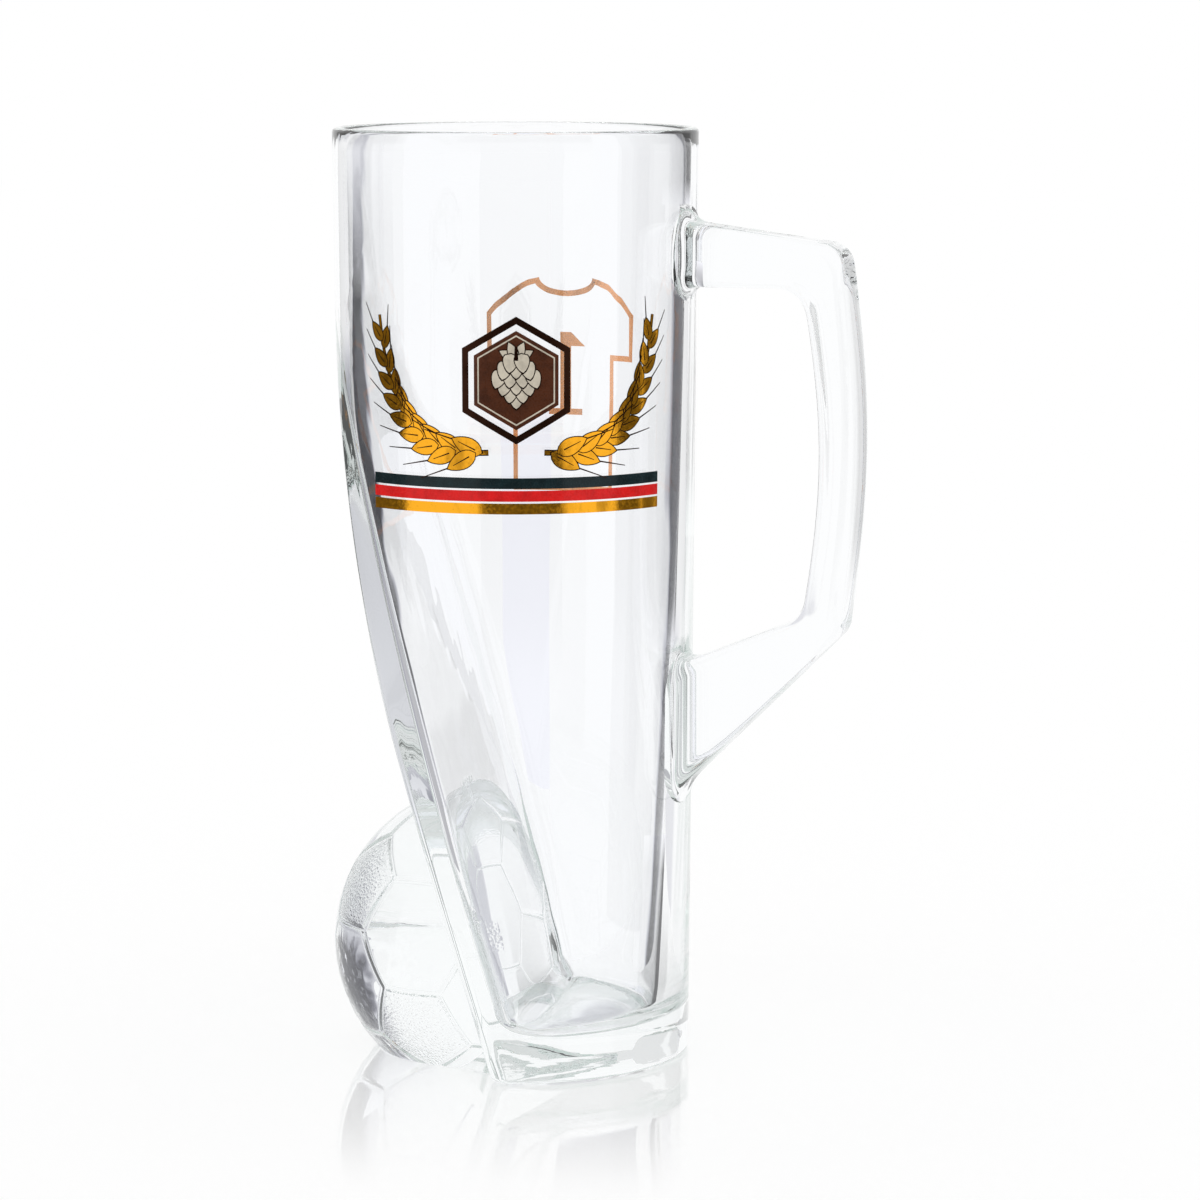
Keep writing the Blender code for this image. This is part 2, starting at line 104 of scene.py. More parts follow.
class MugHandleSizes(bpy.types.PropertyGroup):
    """Sizes of the angular handle."""

    reach: length("Reach", "Furthest point of the grip from the vessel's axis", HANDLE_HIGH.x - AXIS_X)
    width: length("Width", "Width of the bar", HANDLE_HIGH.y - HANDLE_LOW.y)
    edge_radius: length("Edge radius", "Rounding of the bar's edges", 0.0030)
    root_radius: length("Root radius", "Fillet where an arm meets the wall", 0.0032)
    seat_x: length("Seat", "Distance from the axis at which the arms' lines start", 0.0300)
    upper_top: length("Upper arm top", "Height of the upper arm's top at its seat", 0.1860)
    upper_top_end: length("Upper arm end", "Height of the upper arm's top at the grip", 0.1802)
    upper_underside: length("Upper arm underside", "Height of the upper arm's underside", 0.1707)
    lower_top: length("Lower arm top", "Height of the lower arm's top at its seat", 0.0850)
    lower_top_end: length("Lower arm top end", "Height of the lower arm's top at the grip", 0.1000)
    lower_underside: length("Lower arm underside", "Height of the lower arm's underside at its seat", 0.0520)
    lower_underside_end: length("Lower arm end", "Height of the lower arm's underside at the grip", 0.0970)
    grip_top_x: length("Grip top", "Distance of the grip's upper end from the axis", 0.0752)
    grip_foot_x: length("Grip foot", "Distance of the grip's lower end from the axis", 0.0755)
    grip_depth: length("Grip depth", "Depth of the grip", 0.0087)
    inner_corner: length("Inner corner", "Inside radius between grip and arms", 0.0070)
    outer_corner: length("Outer corner", "Outside radius between grip and arms", 0.0055)


class MugFootballSizes(bpy.types.PropertyGroup):
    """Sizes of the football at the foot of the facet."""

    radius: length("Radius", "Radius of the ball", 0.0345)
    middle_x: length("Middle", "Distance of the ball's middle from the vessel's axis", -0.0066)
    middle_z: length("Middle height", "Height of the ball's middle", 0.0240)
    seam_half_width: length("Seam half width", "Half the width of a seam's groove", 0.0008)
    seam_depth: length("Seam depth", "Depth of a seam's groove", 0.00045)
    web_height: length("Web height", "Height of the web between ball and foot", 0.0045)
    web_end_x: length("Web end", "Distance of the web's end from the axis", 0.0060)
    web_half_width: length("Web half width", "Half the web's width at the vessel", 0.0310)
    panel_cuts: IntProperty(name="Panel cuts", description="Cuts along each panel's edges", default=17, min=3)


class MugPrintSizes(bpy.types.PropertyGroup):
    """Sizes of the fired print."""

    film: length("Film", "Thickness of the print", 0.00003)
    lift: length("Lift", "Gap between the print and the glass", 0.00003)
    step: length("Step", "Width of the print's faces round the wall", 0.0010)
    front: turn("Front", "Angle of the front print round the vessel's axis", -70.0)
    back: turn("Back", "Angle of the back print round the vessel's axis", 92.4)
    badge_z: length("Badge height", "Height of the badge's middle", 0.1525)
    badge_radius: length("Badge radius", "Radius of the badge's corners", 0.0105)
    badge_gap: length("Badge gap", "Gap between badge and frame", 0.0012)
    badge_frame: length("Badge frame", "Width of the badge's frame", 0.0014)
    stripe_top: length("Stripe top", "Height of the stripes' upper edge", 0.1318)
    stripe_height: length("Stripe height", "Height of one stripe", 0.0023)
    stripe_gap: length("Stripe gap", "Gap between stripes", 0.0004)
    stripe_half: length("Stripe half length", "Half the stripes' length", 0.0350)
    shirt_top: length("Shirt top", "Height of the shirt's shoulders", 0.1690)
    shirt_height: length("Shirt height", "Height of the shirt", 0.0491)
    shirt_half: length("Shirt half width", "Half the width across the sleeves", 0.0195)
    shirt_body: length("Shirt body", "Half the width of the shirt's body", 0.0131)
    shirt_shoulder: length("Shoulder drop", "Drop of the shoulders", 0.0080)
    shirt_cuff: length("Cuff drop", "Drop of the cuffs", 0.0187)
    shirt_neck: length("Neck half width", "Half the width of the neck", 0.0067)
    shirt_scoop: length("Neck drop", "Drop of the neck", 0.0030)
    shirt_line: length("Shirt line", "Width of the shirt's outline", 0.0013)
    numeral_top: length("Numeral top", "Height of the numeral's top", 0.1565)
    numeral_height: length("Numeral height", "Height of the numeral", 0.0190)
    numeral_stroke: length("Numeral stroke", "Width of the numeral's stroke", 0.0030)
    numeral_flag: length("Numeral flag", "Size of the numeral's flag", 0.0032)
    numeral_foot: length("Numeral foot", "Half the width of the numeral's foot", 0.0042)
    numeral_foot_height: length("Numeral foot height", "Height of the numeral's foot", 0.0014)


class MugColours(bpy.types.PropertyGroup):
    """Colours of glass and print."""

    glass: colour("Glass", "Tint of the glass's surface", (0.986, 0.991, 1.0))
    thick_glass: colour("Thick glass", "Colour that thick glass turns to", (0.70, 0.89, 0.82))
    gold: colour("Gold lustre", "Colour of the gold", (1.0, 0.45, 0.025))
    copper: colour("Copper lustre", "Colour of the back print", (0.95, 0.42, 0.15))
    brown: colour("Brown enamel", "Colour of the badge", (0.10, 0.028, 0.010))
    pale: colour("Pale enamel", "Colour of the hop on the badge", (0.82, 0.74, 0.60))
    line: colour("Line", "Colour of the print's dark lines", (0.035, 0.014, 0.008))
    black: colour("Black enamel", "Colour of the dark stripe", (0.006, 0.016, 0.019))
    red: colour("Red enamel", "Colour of the red stripe", (0.95, 0.016, 0.016))


class Wire:
    """One output of a shader node. Sums on it add Math nodes to its tree."""

    def __init__(self, tree, socket=None):
        self.tree = tree
        self.socket = socket

    def add(self, kind, inputs=None, out=0, **settings):
        """Adds a node: its settings first, then the values or links of its sockets; returns one output."""
        node = self.tree.nodes.new(f"ShaderNode{kind}")
        for name, value in settings.items():
            setattr(node, name, value)
        for name, value in (inputs or {}).items():
            if isinstance(value, Wire):
                self.tree.links.new(value.socket, node.inputs[name])
            else:
                node.inputs[name].default_value = value
        return Wire(self.tree, node.outputs[out] if len(node.outputs) else None)

    def sum(self, operation, first, second):
        return self.add("Math", {0: first, 1: second}, operation=operation)

    def __add__(self, other):
        return self.sum("ADD", self, other)

    def __radd__(self, other):
        return self.sum("ADD", other, self)

    def __sub__(self, other):
        return self.sum("SUBTRACT", self, other)

    def __rsub__(self, other):
        return self.sum("SUBTRACT", other, self)

    def __mul__(self, other):
        return self.sum("MULTIPLY", self, other)

    def __rmul__(self, other):
        return self.sum("MULTIPLY", other, self)

    def __gt__(self, other):
        return self.sum("GREATER_THAN", self, other)

    def step(self, low, high, start=0.0, end=1.0):
        """Smooth change from start to end as the value goes from low to high."""
        ends = {"From Min": low, "From Max": high, "To Min": start, "To Max": end}
        return self.add("MapRange", {"Value": self, **ends}, interpolation_type="SMOOTHSTEP")

    def mix(self, first, second):
        """Colour between two, by this value."""
        return self.add("Mix", {0: self, 6: first, 7: second}, out=2, data_type="RGBA")

    def towards(self, way):
        """How far a vector goes in a direction."""
        return self.add("VectorMath", {0: self, 1: tuple(way)}, out="Value", operation="DOT_PRODUCT")

    def upward(self):
        """How far up a vector goes."""
        return self.add("SeparateXYZ", {0: self}, out="Z")


WHITE = (1.0, 1.0, 1.0, 1.0)


def opaque(shade, part=1.0):
    """A colour for a socket, at a part of its strength."""
    return (*(value * part for value in shade), 1.0)


def blank_material(name):
    material = bpy.data.materials.new(name)
    material.use_nodes = True
    material.node_tree.nodes.clear()
    return material, Wire(material.node_tree)


def mug_settings():
    return bpy.context.scene.beer_mug


def between(start, end, part):
    return start + (end - start) * part


PIECE_SHARP = math.radians(32.0)


def finished(mesh, name):
    """Object for a modelled piece: moved from the vessel's axis to its place and shaded smooth."""
    bmesh.ops.translate(mesh, vec=Vector((AXIS_X, 0.0, 0.0)), verts=mesh.verts)
    data = bpy.data.meshes.new(name)
    mesh.to_mesh(data)
    mesh.free()
    data.shade_smooth()
    data.set_sharp_from_angle(angle=PIECE_SHARP)
    piece = bpy.data.objects.new(name, data)
    bpy.context.scene.collection.objects.link(piece)
    return piece


def loft(count, levels, place):
    """Closed skin through rings; place gives the point of a level at a share of a turn."""
    mesh = bmesh.new()
    around = mesh.verts.layers.float.new("around")
    ring = bmesh.ops.create_circle(mesh, segments=count, radius=1.0)["verts"]
    for index, vert in enumerate(ring):
        vert[around] = index / count
    edges = mesh.edges[:]
    bmesh.ops.contextual_create(mesh, geom=edges)
    for number, level in enumerate(levels):
        if number:
            grown = bmesh.ops.extrude_edge_only(mesh, edges=edges)["geom"]
            ring = {item for item in grown if isinstance(item, bmesh.types.BMVert)}
            edges = [item for item in grown if isinstance(item, bmesh.types.BMEdge)]
            edges = [edge for edge in edges if all(vert in ring for vert in edge.verts)]
        for vert in ring:
            vert.co = place(level, vert[around])
    bmesh.ops.contextual_create(mesh, geom=edges)
    mesh.verts.layers.float.remove(around)
    bmesh.ops.recalc_face_normals(mesh, faces=mesh.faces)
    return mesh


class VesselForm:
    """The tumbler as sections: a circle with one flat side whose corners are rounded."""

    # Shares of a section's points on the round wall, the corners and the flat, and the heights over which
    # they give way to even spacing.
    SHARES = (0.60, 0.14, 0.26)
    FADE_Z = (0.150, 0.199)

    def __init__(self, size):
        for name in type(size).__annotations__:
            setattr(self, name, getattr(size, name))

    def radius(self, z):
        return between(self.foot_radius, self.rim_radius, z / self.height)

    def thickness(self, z):
        return between(self.rim_wall, self.foot_wall, (1 - z / self.height) ** 2)

    def outside(self, z, inset=0.0):
        """Section of the outside: its height, radius, flat and corner radius."""
        flat = self.facet(z) + inset / math.cos(self.lean(z))
        return z, self.radius(z) - inset, flat, self.outer_corner

    def inside(self, z, rounding=0.0):
        """Section of the hollow, which has a plain flat where the outside has its swelling facet."""
        thinnest = self.facet(z) + self.facet_wall / math.cos(self.lean(z))
        flat = max(self.inner_flat_x - z * math.tan(self.inner_flat_lean), thinnest)
        return z, self.radius(z) - self.thickness(z) - rounding, flat + rounding, self.inner_corner

    def lean(self, z):
        """Angle of the facet from upright, along its hollow and then along its swell."""
        foot, bend = math.sin(self.facet_foot_lean), math.sin(self.facet_bend_lean)
        if z <= self.facet_bend_z:
            return math.asin(between(foot, bend, z / self.facet_bend_z))
        return math.asin(max(bend - (z - self.facet_bend_z) / self.facet_swell_radius, 0.0))

    def facet(self, z):
        """Where the facet's surface lies, on the -X side of the axis once it is above the foot."""
        hollow = self.facet_bend_z / (math.sin(self.facet_bend_lean) - math.sin(self.facet_foot_lean))
        fall = math.cos(self.facet_foot_lean) - math.cos(self.lean(min(z, self.facet_bend_z)))
        x = self.facet_foot_x - hollow * fall
        if z > self.facet_bend_z:
            x -= self.facet_swell_radius * (math.cos(self.lean(z)) - math.cos(self.facet_bend_lean))
        return x

    def aligned(self, place):
        """A place turned with the facet, which isn't quite opposite the handle."""
        return Matrix.Rotation(self.facet_turn, 3, "Z") @ Vector(place)

    def point(self, level, part):
        """Point at a share of a turn round a section."""
        z, radius, flat, corner = level
        flat = max(flat, -radius)
        centre_x = flat + corner
        centre_y = math.sqrt(max((radius - corner) ** 2 - centre_x**2, 0.0))
        bend = math.atan2(centre_y, centre_x)
        lengths = (radius * bend, corner * (math.pi - bend), centre_y)
        half, side = (2 * part, 1.0) if part <= 0.5 else (2 - 2 * part, -1.0)
        shared, start = 0.0, 0.0
        for stretch, points in zip(lengths, self.SHARES):
            shared += stretch * min(max((half - start) / points, 0.0), 1.0)
            start += points
        fade = min(max((self.FADE_Z[1] - z) / (self.FADE_Z[1] - self.FADE_Z[0]), 0.0), 1.0)
        along = between(sum(lengths) * half, shared, fade)
        if along < lengths[0]:
            x, y = radius * math.cos(along / radius), radius * math.sin(along / radius)
        elif along < lengths[0] + lengths[1]:
            angle = bend + (along - lengths[0]) / corner
            x, y = centre_x + corner * math.cos(angle), centre_y + corner * math.sin(angle)
        else:
            x, y = flat, sum(lengths) - along
        return self.aligned((x, side * y, z))

    def levels(self, wall_steps, round_steps):
        """Sections from under the foot up the outside, over the lip and down the inside to the floor."""
        levels = []
        for step in range(round_steps + 1):
            angle = math.pi / 2 * step / round_steps
            rise, inset = 1 - math.cos(angle), 1 - math.sin(angle)
            levels.append(self.outside(self.foot_bevel * rise, self.foot_bevel * inset))
        shoulder = self.height - self.lip_height
        for step in range(1, wall_steps + 1):
            levels.append(self.outside(between(self.foot_bevel, shoulder, step / wall_steps)))
        lip = self.rim_wall / 2
        for step in range(1, 2 * round_steps + 1):
            angle = math.pi * step / (2 * round_steps)
            rise = self.lip_height * math.sin(angle)
            levels.append(self.outside(shoulder + rise, lip * (1 - math.cos(angle))))
        fillet_top = self.floor_thickness + self.floor_fillet
        for step in range(1, wall_steps + 1):
            levels.append(self.inside(between(shoulder, fillet_top, step / wall_steps)))
        for step in range(1, 2 * round_steps + 1):
            angle = math.pi / 2 * step / (2 * round_steps)
            fall, rounding = math.sin(angle), 1 - math.cos(angle)
            levels.append(self.inside(fillet_top - self.floor_fillet * fall, self.floor_fillet * rounding))
        return levels


WALL_POINTS = 240
WALL_STEPS = 52
ROUND_STEPS = 4
CORE_INSET = 0.0020
CORE_FOOT = -0.005
CORE_STEPS = 40


def vessel_mesh(form):
    return loft(WALL_POINTS, form.levels(WALL_STEPS, ROUND_STEPS), form.point)


def core_mesh(form):
    """Solid just inside the vessel's outside, which cuts away what would reach into the hollow."""
    heights = [between(CORE_FOOT, form.height, step / CORE_STEPS) for step in range(CORE_STEPS + 1)]
    return loft(WALL_POINTS // 2, [form.outside(z, CORE_INSET) for z in heights], form.point)


ARC_STEPS = 8
FLAT_STEPS = 4
BAR_POINTS = 4 * (ARC_STEPS + FLAT_STEPS)
FLAT_EDGE = 0.0006


def bar_section(long, wide, radius, part):
    """Point round a rounded rectangle of half sizes long and wide; its flats have points near their ends."""
    radius = min(radius, long, wide)
    quarter, step = divmod(round(part * BAR_POINTS) % BAR_POINTS, ARC_STEPS + FLAT_STEPS)

    def on_arc(corner, turned):
        side, rise = ((1, 1), (-1, 1), (-1, -1), (1, -1))[corner % 4]
        angle = math.pi / 2 * (corner + turned)
        return Vector((side * (long - radius) + radius * math.cos(angle),
                       rise * (wide - radius) + radius * math.sin(angle)))

    if step <= ARC_STEPS:
        return on_arc(quarter, step / ARC_STEPS)
    start, end = on_arc(quarter, 1.0), on_arc(quarter + 1, 0.0)
    edge = min(FLAT_EDGE / max((end - start).length, FLAT_EDGE), 0.25)
    return start.lerp(end, (edge, 0.5, 1 - edge)[step - ARC_STEPS - 1])


def rounded_corner(before, corner, after, radius, steps):
    """Points of the arc that rounds a corner of a flat line."""
    back, ahead = (before - corner).normalized(), (after - corner).normalized()
    half = back.angle(ahead) / 2
    centre = corner + (back + ahead).normalized() * (radius / math.sin(half))
    reach = radius / math.tan(half)
    start = (corner + back * reach - centre).normalized()
    end = (corner + ahead * reach - centre).normalized()
    return [centre + start.slerp(end, step / steps) * radius for step in range(steps + 1)]


CORNER_STEPS = 10
GRIP_STEPS = 28
GRIP_ENDS = 0.125
ROOT_STEPS = 8
ARM_STEPS = 10
ROOT_DEPTH = 0.0026


def handle_sections(size, form):
    """Sections of the handle from the upper root to the lower: outer point, inner point and flare."""
    bow = size.reach - (size.grip_foot_x + size.grip_top_x) / 2
    outer_ends = (
        Vector((size.grip_top_x, size.upper_top_end)),
        Vector((size.grip_foot_x, size.lower_underside_end)),
    )
    inner_ends = (
        Vector((size.grip_top_x - size.grip_depth, size.upper_underside)),
        Vector((size.grip_foot_x - size.grip_depth, size.lower_top_end)),
    )
    outer_seats = Vector((size.seat_x, size.upper_top)), Vector((size.seat_x, size.lower_underside))
    inner_seats = Vector((size.seat_x, size.upper_underside)), Vector((size.seat_x, size.lower_top))

    def loop_side(seats, ends, radius):
        grip = []
        for step in range(GRIP_STEPS + 1):
            part = between(GRIP_ENDS, 1 - GRIP_ENDS, step / GRIP_STEPS)
            grip.append(ends[0].lerp(ends[1], part) + Vector((bow * math.sin(math.pi * part), 0.0)))
        upper = rounded_corner(seats[0], ends[0], grip[0], radius, CORNER_STEPS)
        lower = rounded_corner(grip[-1], ends[1], seats[1], radius, CORNER_STEPS)
        return upper + grip + lower

    outer = loop_side(outer_seats, outer_ends, size.outer_corner)
    inner = loop_side(inner_seats, inner_ends, size.inner_corner)

    def on_line(seat, end, x):
        return seat.lerp(end, (x - seat.x) / (end.x - seat.x))

    def arm(end, outer_start, inner_start):
        """Sections from the wall to where the corner's arc starts."""
        wall = form.radius((outer_seats[end].y + inner_seats[end].y) / 2)
        places = [(wall - ROOT_DEPTH, size.root_radius)]
        for step in range(ROOT_STEPS + 1):
            angle = math.pi / 2 * step / ROOT_STEPS
            out, flare = 1 - math.cos(angle), 1 - math.sin(angle)
            places.append((wall + size.root_radius * out, size.root_radius * flare))
        sections = []
        for x, flare in places:
            far = on_line(outer_seats[end], outer_ends[end], x)
            near = on_line(inner_seats[end], inner_ends[end], x)
            sections.append((far, near, flare))
        first_outer, first_inner, _ = sections[-1]
        for step in range(1, ARM_STEPS):
            part = step / ARM_STEPS
            sections.append((first_outer.lerp(outer_start, part), first_inner.lerp(inner_start, part), 0.0))
        return sections

    sections = arm(0, outer[0], inner[0])
    sections += [(far, near, 0.0) for far, near in zip(outer, inner)]
    sections += reversed(arm(1, outer[-1], inner[-1]))
    return sections


def handle_mesh(size, form):
    half_width = size.width / 2

    def place(section, part):
        outer, inner, flare = section
        middle, up = (outer + inner) / 2, (outer - inner).normalized()
        half_depth = (outer - inner).length / 2
        spot = bar_section(half_depth + flare, half_width + flare, size.edge_radius + flare * 2.0, part)
        return Vector((middle.x + up.x * spot.x, spot.y, middle.y + up.y * spot.x))

    return loft(BAR_POINTS, handle_sections(size, form), place)


# The way that one six-sided panel faces, with a five-sided one under it.
SHOWN_PANEL = Vector((-0.172, -0.966, 0.1885))
# Rings of a seam's groove from its middle out: share of the half width, share of the depth.
SEAM_RINGS = ((0.30, 0.86), (0.62, 0.32), (1.0, 0.0))


def football_mesh(size, form):
    """Ball of five- and six-sided panels with grooved seams, cut flat where it stands, and their planes."""
    mesh = bmesh.new()
    groove = mesh.verts.layers.float.new("groove")
    ring = mesh.verts.layers.int.new("ring")
    bmesh.ops.create_icosphere(mesh, subdivisions=1, radius=1.0)
    bmesh.ops.bevel(
        mesh, geom=mesh.verts[:], offset=100.0 / 3.0, offset_type="PERCENT", affect="VERTICES",
        segments=1, profile=0.5, material=-1,
    )
    panels = mesh.faces[:]
    six = next(face for face in panels if len(face.verts) == 6)
    five = next(face for edge in six.edges for face in edge.link_faces if len(face.verts) == 5)
    facing = six.calc_center_median().normalized()
    below = five.calc_center_median()
    below = (below - facing * below.dot(facing)).normalized()
    shown = SHOWN_PANEL.normalized()
    down = Vector((0.0, 0.0, -1.0))
    down = (down - shown * down.dot(shown)).normalized()
    made = Matrix((facing, below, facing.cross(below)))
    wanted = Matrix((shown, down, shown.cross(down)))
    bmesh.ops.rotate(mesh, matrix=wanted.transposed() @ made, verts=mesh.verts)
    scale = mesh.verts[:][0].co.length / size.radius
    planes = {5: [], 6: []}
    for face in panels:
        centre = face.calc_center_median()
        planes[len(face.verts)].append(centre / centre.length_squared)
    for vert in mesh.verts:
        vert[groove] = 1.0
    before = 0.0
    for number, (reach, depth) in enumerate(SEAM_RINGS, start=1):
        width = (reach - before) * size.seam_half_width * scale
        bmesh.ops.inset_individual(mesh, faces=panels, thickness=width, use_even_offset=True)
        before = reach
        for face in panels:
            for vert in face.verts:
                vert[ring] = number
                vert[groove] = depth
    last = len(SEAM_RINGS)
    for vert in bmesh.ops.poke(mesh, faces=panels)["verts"]:
        vert[ring] = last + 1
        vert[groove] = 0.0
    along = []
    for edge in mesh.edges:
        rings = [vert[ring] for vert in edge.verts]
        if rings[0] == rings[1] or max(rings) > last:
            along.append(edge)
    bmesh.ops.subdivide_edges(mesh, edges=along, cuts=size.panel_cuts, use_grid_fill=True)
    middle = form.aligned((size.middle_x, 0.0, size.middle_z))
    for vert in mesh.verts:
        vert.co = middle + vert.co.normalized() * (size.radius - size.seam_depth * vert[groove])
    mesh.verts.layers.int.remove(mesh.verts.layers.int["ring"])
    mesh.verts.layers.float.remove(mesh.verts.layers.float["groove"])
    everything = mesh.verts[:] + mesh.edges[:] + mesh.faces[:]
    cut = bmesh.ops.bisect_plane(mesh, geom=everything, plane_no=Vector((0.0, 0.0, 1.0)), clear_inner=True)
    rim = [item for item in cut["geom_cut"] if isinstance(item, bmesh.types.BMEdge)]
    bmesh.ops.contextual_create(mesh, geom=rim)
    bmesh.ops.recalc_face_normals(mesh, faces=mesh.faces)
    return mesh, planes


def web_mesh(size, form):
    """Low web of glass between the ball and the foot of the vessel."""
    foot = math.sqrt(size.radius**2 - size.middle_z**2)
    mesh = bmesh.new()
    outline = [
        (size.middle_x, -foot), (size.web_end_x, -size.web_half_width),
        (size.web_end_x, size.web_half_width), (size.middle_x, foot),
    ]
    corners = [mesh.verts.new(form.aligned((x, y, 0.0))) for x, y in outline]
    face = bmesh.ops.contextual_create(mesh, geom=corners)["faces"]
    grown = bmesh.ops.extrude_face_region(mesh, geom=face)["geom"]
    top = [item for item in grown if isinstance(item, bmesh.types.BMVert)]
    bmesh.ops.translate(mesh, vec=Vector((0.0, 0.0, size.web_height)), verts=top)
    bmesh.ops.recalc_face_normals(mesh, faces=mesh.faces)
    return mesh


def settle(piece, tools):
    """Joins tools to a piece, or cuts them from it, and takes them away."""
    for tool, operation in tools.items():
        boolean = piece.modifiers.new(tool.name, "BOOLEAN")
        boolean.operation = operation
        boolean.solver = "EXACT"
        boolean.object = tool
    graph = bpy.context.evaluated_depsgraph_get()
    data = bpy.data.meshes.new_from_object(piece.evaluated_get(graph))
    piece.modifiers.clear()
    piece.data = data
    for tool in tools:
        bpy.data.objects.remove(tool, do_unlink=True)
    if not data.polygons:
        raise RuntimeError(f"{piece.name} has no faces left after its Booleans")
    data.shade_smooth()
    data.set_sharp_from_angle(angle=FUSED_SHARP)


STIPPLE_EDGE = 0.035
STIPPLE_BEHIND = 0.15
BALL_SLACK = 0.0001


def mark_stipple(data, size, form, planes):
    """Marks the ball's five-sided panels inside their seams, more so in front, for the material to read."""
    middle = Vector((AXIS_X, 0.0, 0.0)) + form.aligned((size.middle_x, 0.0, size.middle_z))
    shares = []
    for vert in data.vertices:
        way = vert.co - middle
        lead = 0.0
        if size.radius - size.seam_depth < way.length < size.radius + BALL_SLACK:
            way.normalize()
            five, six = (max(way.dot(plane) for plane in planes[sides]) for sides in (5, 6))
            lead = (five / six - 1.0) / STIPPLE_EDGE
        shares.append(min(max(lead, 0.0), 1.0) * (1.0 if way.y < 0.0 else STIPPLE_BEHIND))
    data.attributes.new("stipple", "FLOAT", "POINT").data.foreach_set("value", shares)


GLASS_IOR = 1.52
GLASS_DENSITY = 1.2
SHADOW_TINT = (0.93, 0.96, 0.95, 1.0)
DRAW_LINE_HEIGHT = 0.00010
STIPPLE_HEIGHT = 0.00024
STIPPLE_ROUGHNESS = 0.13
# Reflections after which a ray counts as trapped in the glass, and then as lost.
TRAPPED = 8
LOST = 12


def glass_material(colours):
    """Clear pressed glass: faint draw lines, and stippled where the football's panels are.

    Shadow rays go straight through it, and so do rays that are trapped in it, except near the rim: painted
    light where trapped rays would end dark, and painted shade at the rim's ends.
    """
    material, wire = blank_material("pressed_glass")
    place = wire.add("TexCoord", out="Object")
    stipple = wire.add("Attribute", out="Fac", attribute_name="stipple")
    drawn = wire.add("Mapping", {"Vector": place, "Scale": (1.0, 1.0, 0.06)})
    waves = wire.add("TexNoise", {"Vector": drawn, "Scale": 90.0, "Detail": 2.0, "Roughness": 0.5})
    spots = {"Vector": place, "Scale": 1700.0, "Smoothness": 0.5}
    grains = wire.add("TexVoronoi", spots, feature="SMOOTH_F1")
    height = waves * DRAW_LINE_HEIGHT + stipple * grains * STIPPLE_HEIGHT
    glass = wire.add("BsdfPrincipled", {
        "Base Color": opaque(colours.glass),
        "Roughness": stipple * STIPPLE_ROUGHNESS,
        "IOR": GLASS_IOR,
        "Transmission Weight": 1.0,
        "Normal": wire.add("Bump", {"Strength": 1.0, "Distance": 1.0, "Height": height}, out="Normal"),
    })
    through = wire.add("BsdfTransparent", {"Color": SHADOW_TINT})
    shadow = wire.add("LightPath", out="Is Shadow Ray")
    trapped = path_depth(wire, "Glossy", TRAPPED) - path_depth(wire, "Glossy", LOST)
    # Trapped rays leak out only below the rim; above it they stay in the glass and end dark: painted shade at
    # the rim's ends.
    leak = trapped * place.upward().step(0.160, 0.175, 1.0, 0.0)
    surface = wire.add("MixShader", {0: shadow + leak, 1: glass, 2: through})
    depth = wire.add("VolumeAbsorption", {"Color": opaque(colours.thick_glass), "Density": GLASS_DENSITY})
    wire.add("OutputMaterial", {"Surface": surface, "Volume": depth})
    return material


FUSED_SHARP = math.radians(38.0)


class MugMakeGlass(bpy.types.Operator):
    """Makes the vessel, the handle and the football as one fused body of glass"""

    bl_idname = "beer_mug.make_glass"
    bl_label = "Glass"

    def execute(self, context):
        settings = mug_settings()
        form = VesselForm(settings.vessel)
        glass = finished(vessel_mesh(form), "mug_glass")
        core = finished(core_mesh(form), "vessel_core")
        handle = finished(handle_mesh(settings.handle, form), "handle_bar")
        ball_mesh, planes = football_mesh(settings.football, form)
        ball = finished(ball_mesh, "panelled_ball")
        web = finished(web_mesh(settings.football, form), "ball_web")
        settle(ball, {web: "UNION", core: "DIFFERENCE"})
        settle(glass, {handle: "UNION", ball: "UNION"})
        mark_stipple(glass.data, settings.football, form, planes)
        glass.data.materials.clear()
        glass.data.materials.append(glass_material(settings.colours))
        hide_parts("glass_body", "handle", "football")
        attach(glass, "root")
        return {"FINISHED"}


LAYER_STEP = 0.000004
EDGE_LINE = 0.00022


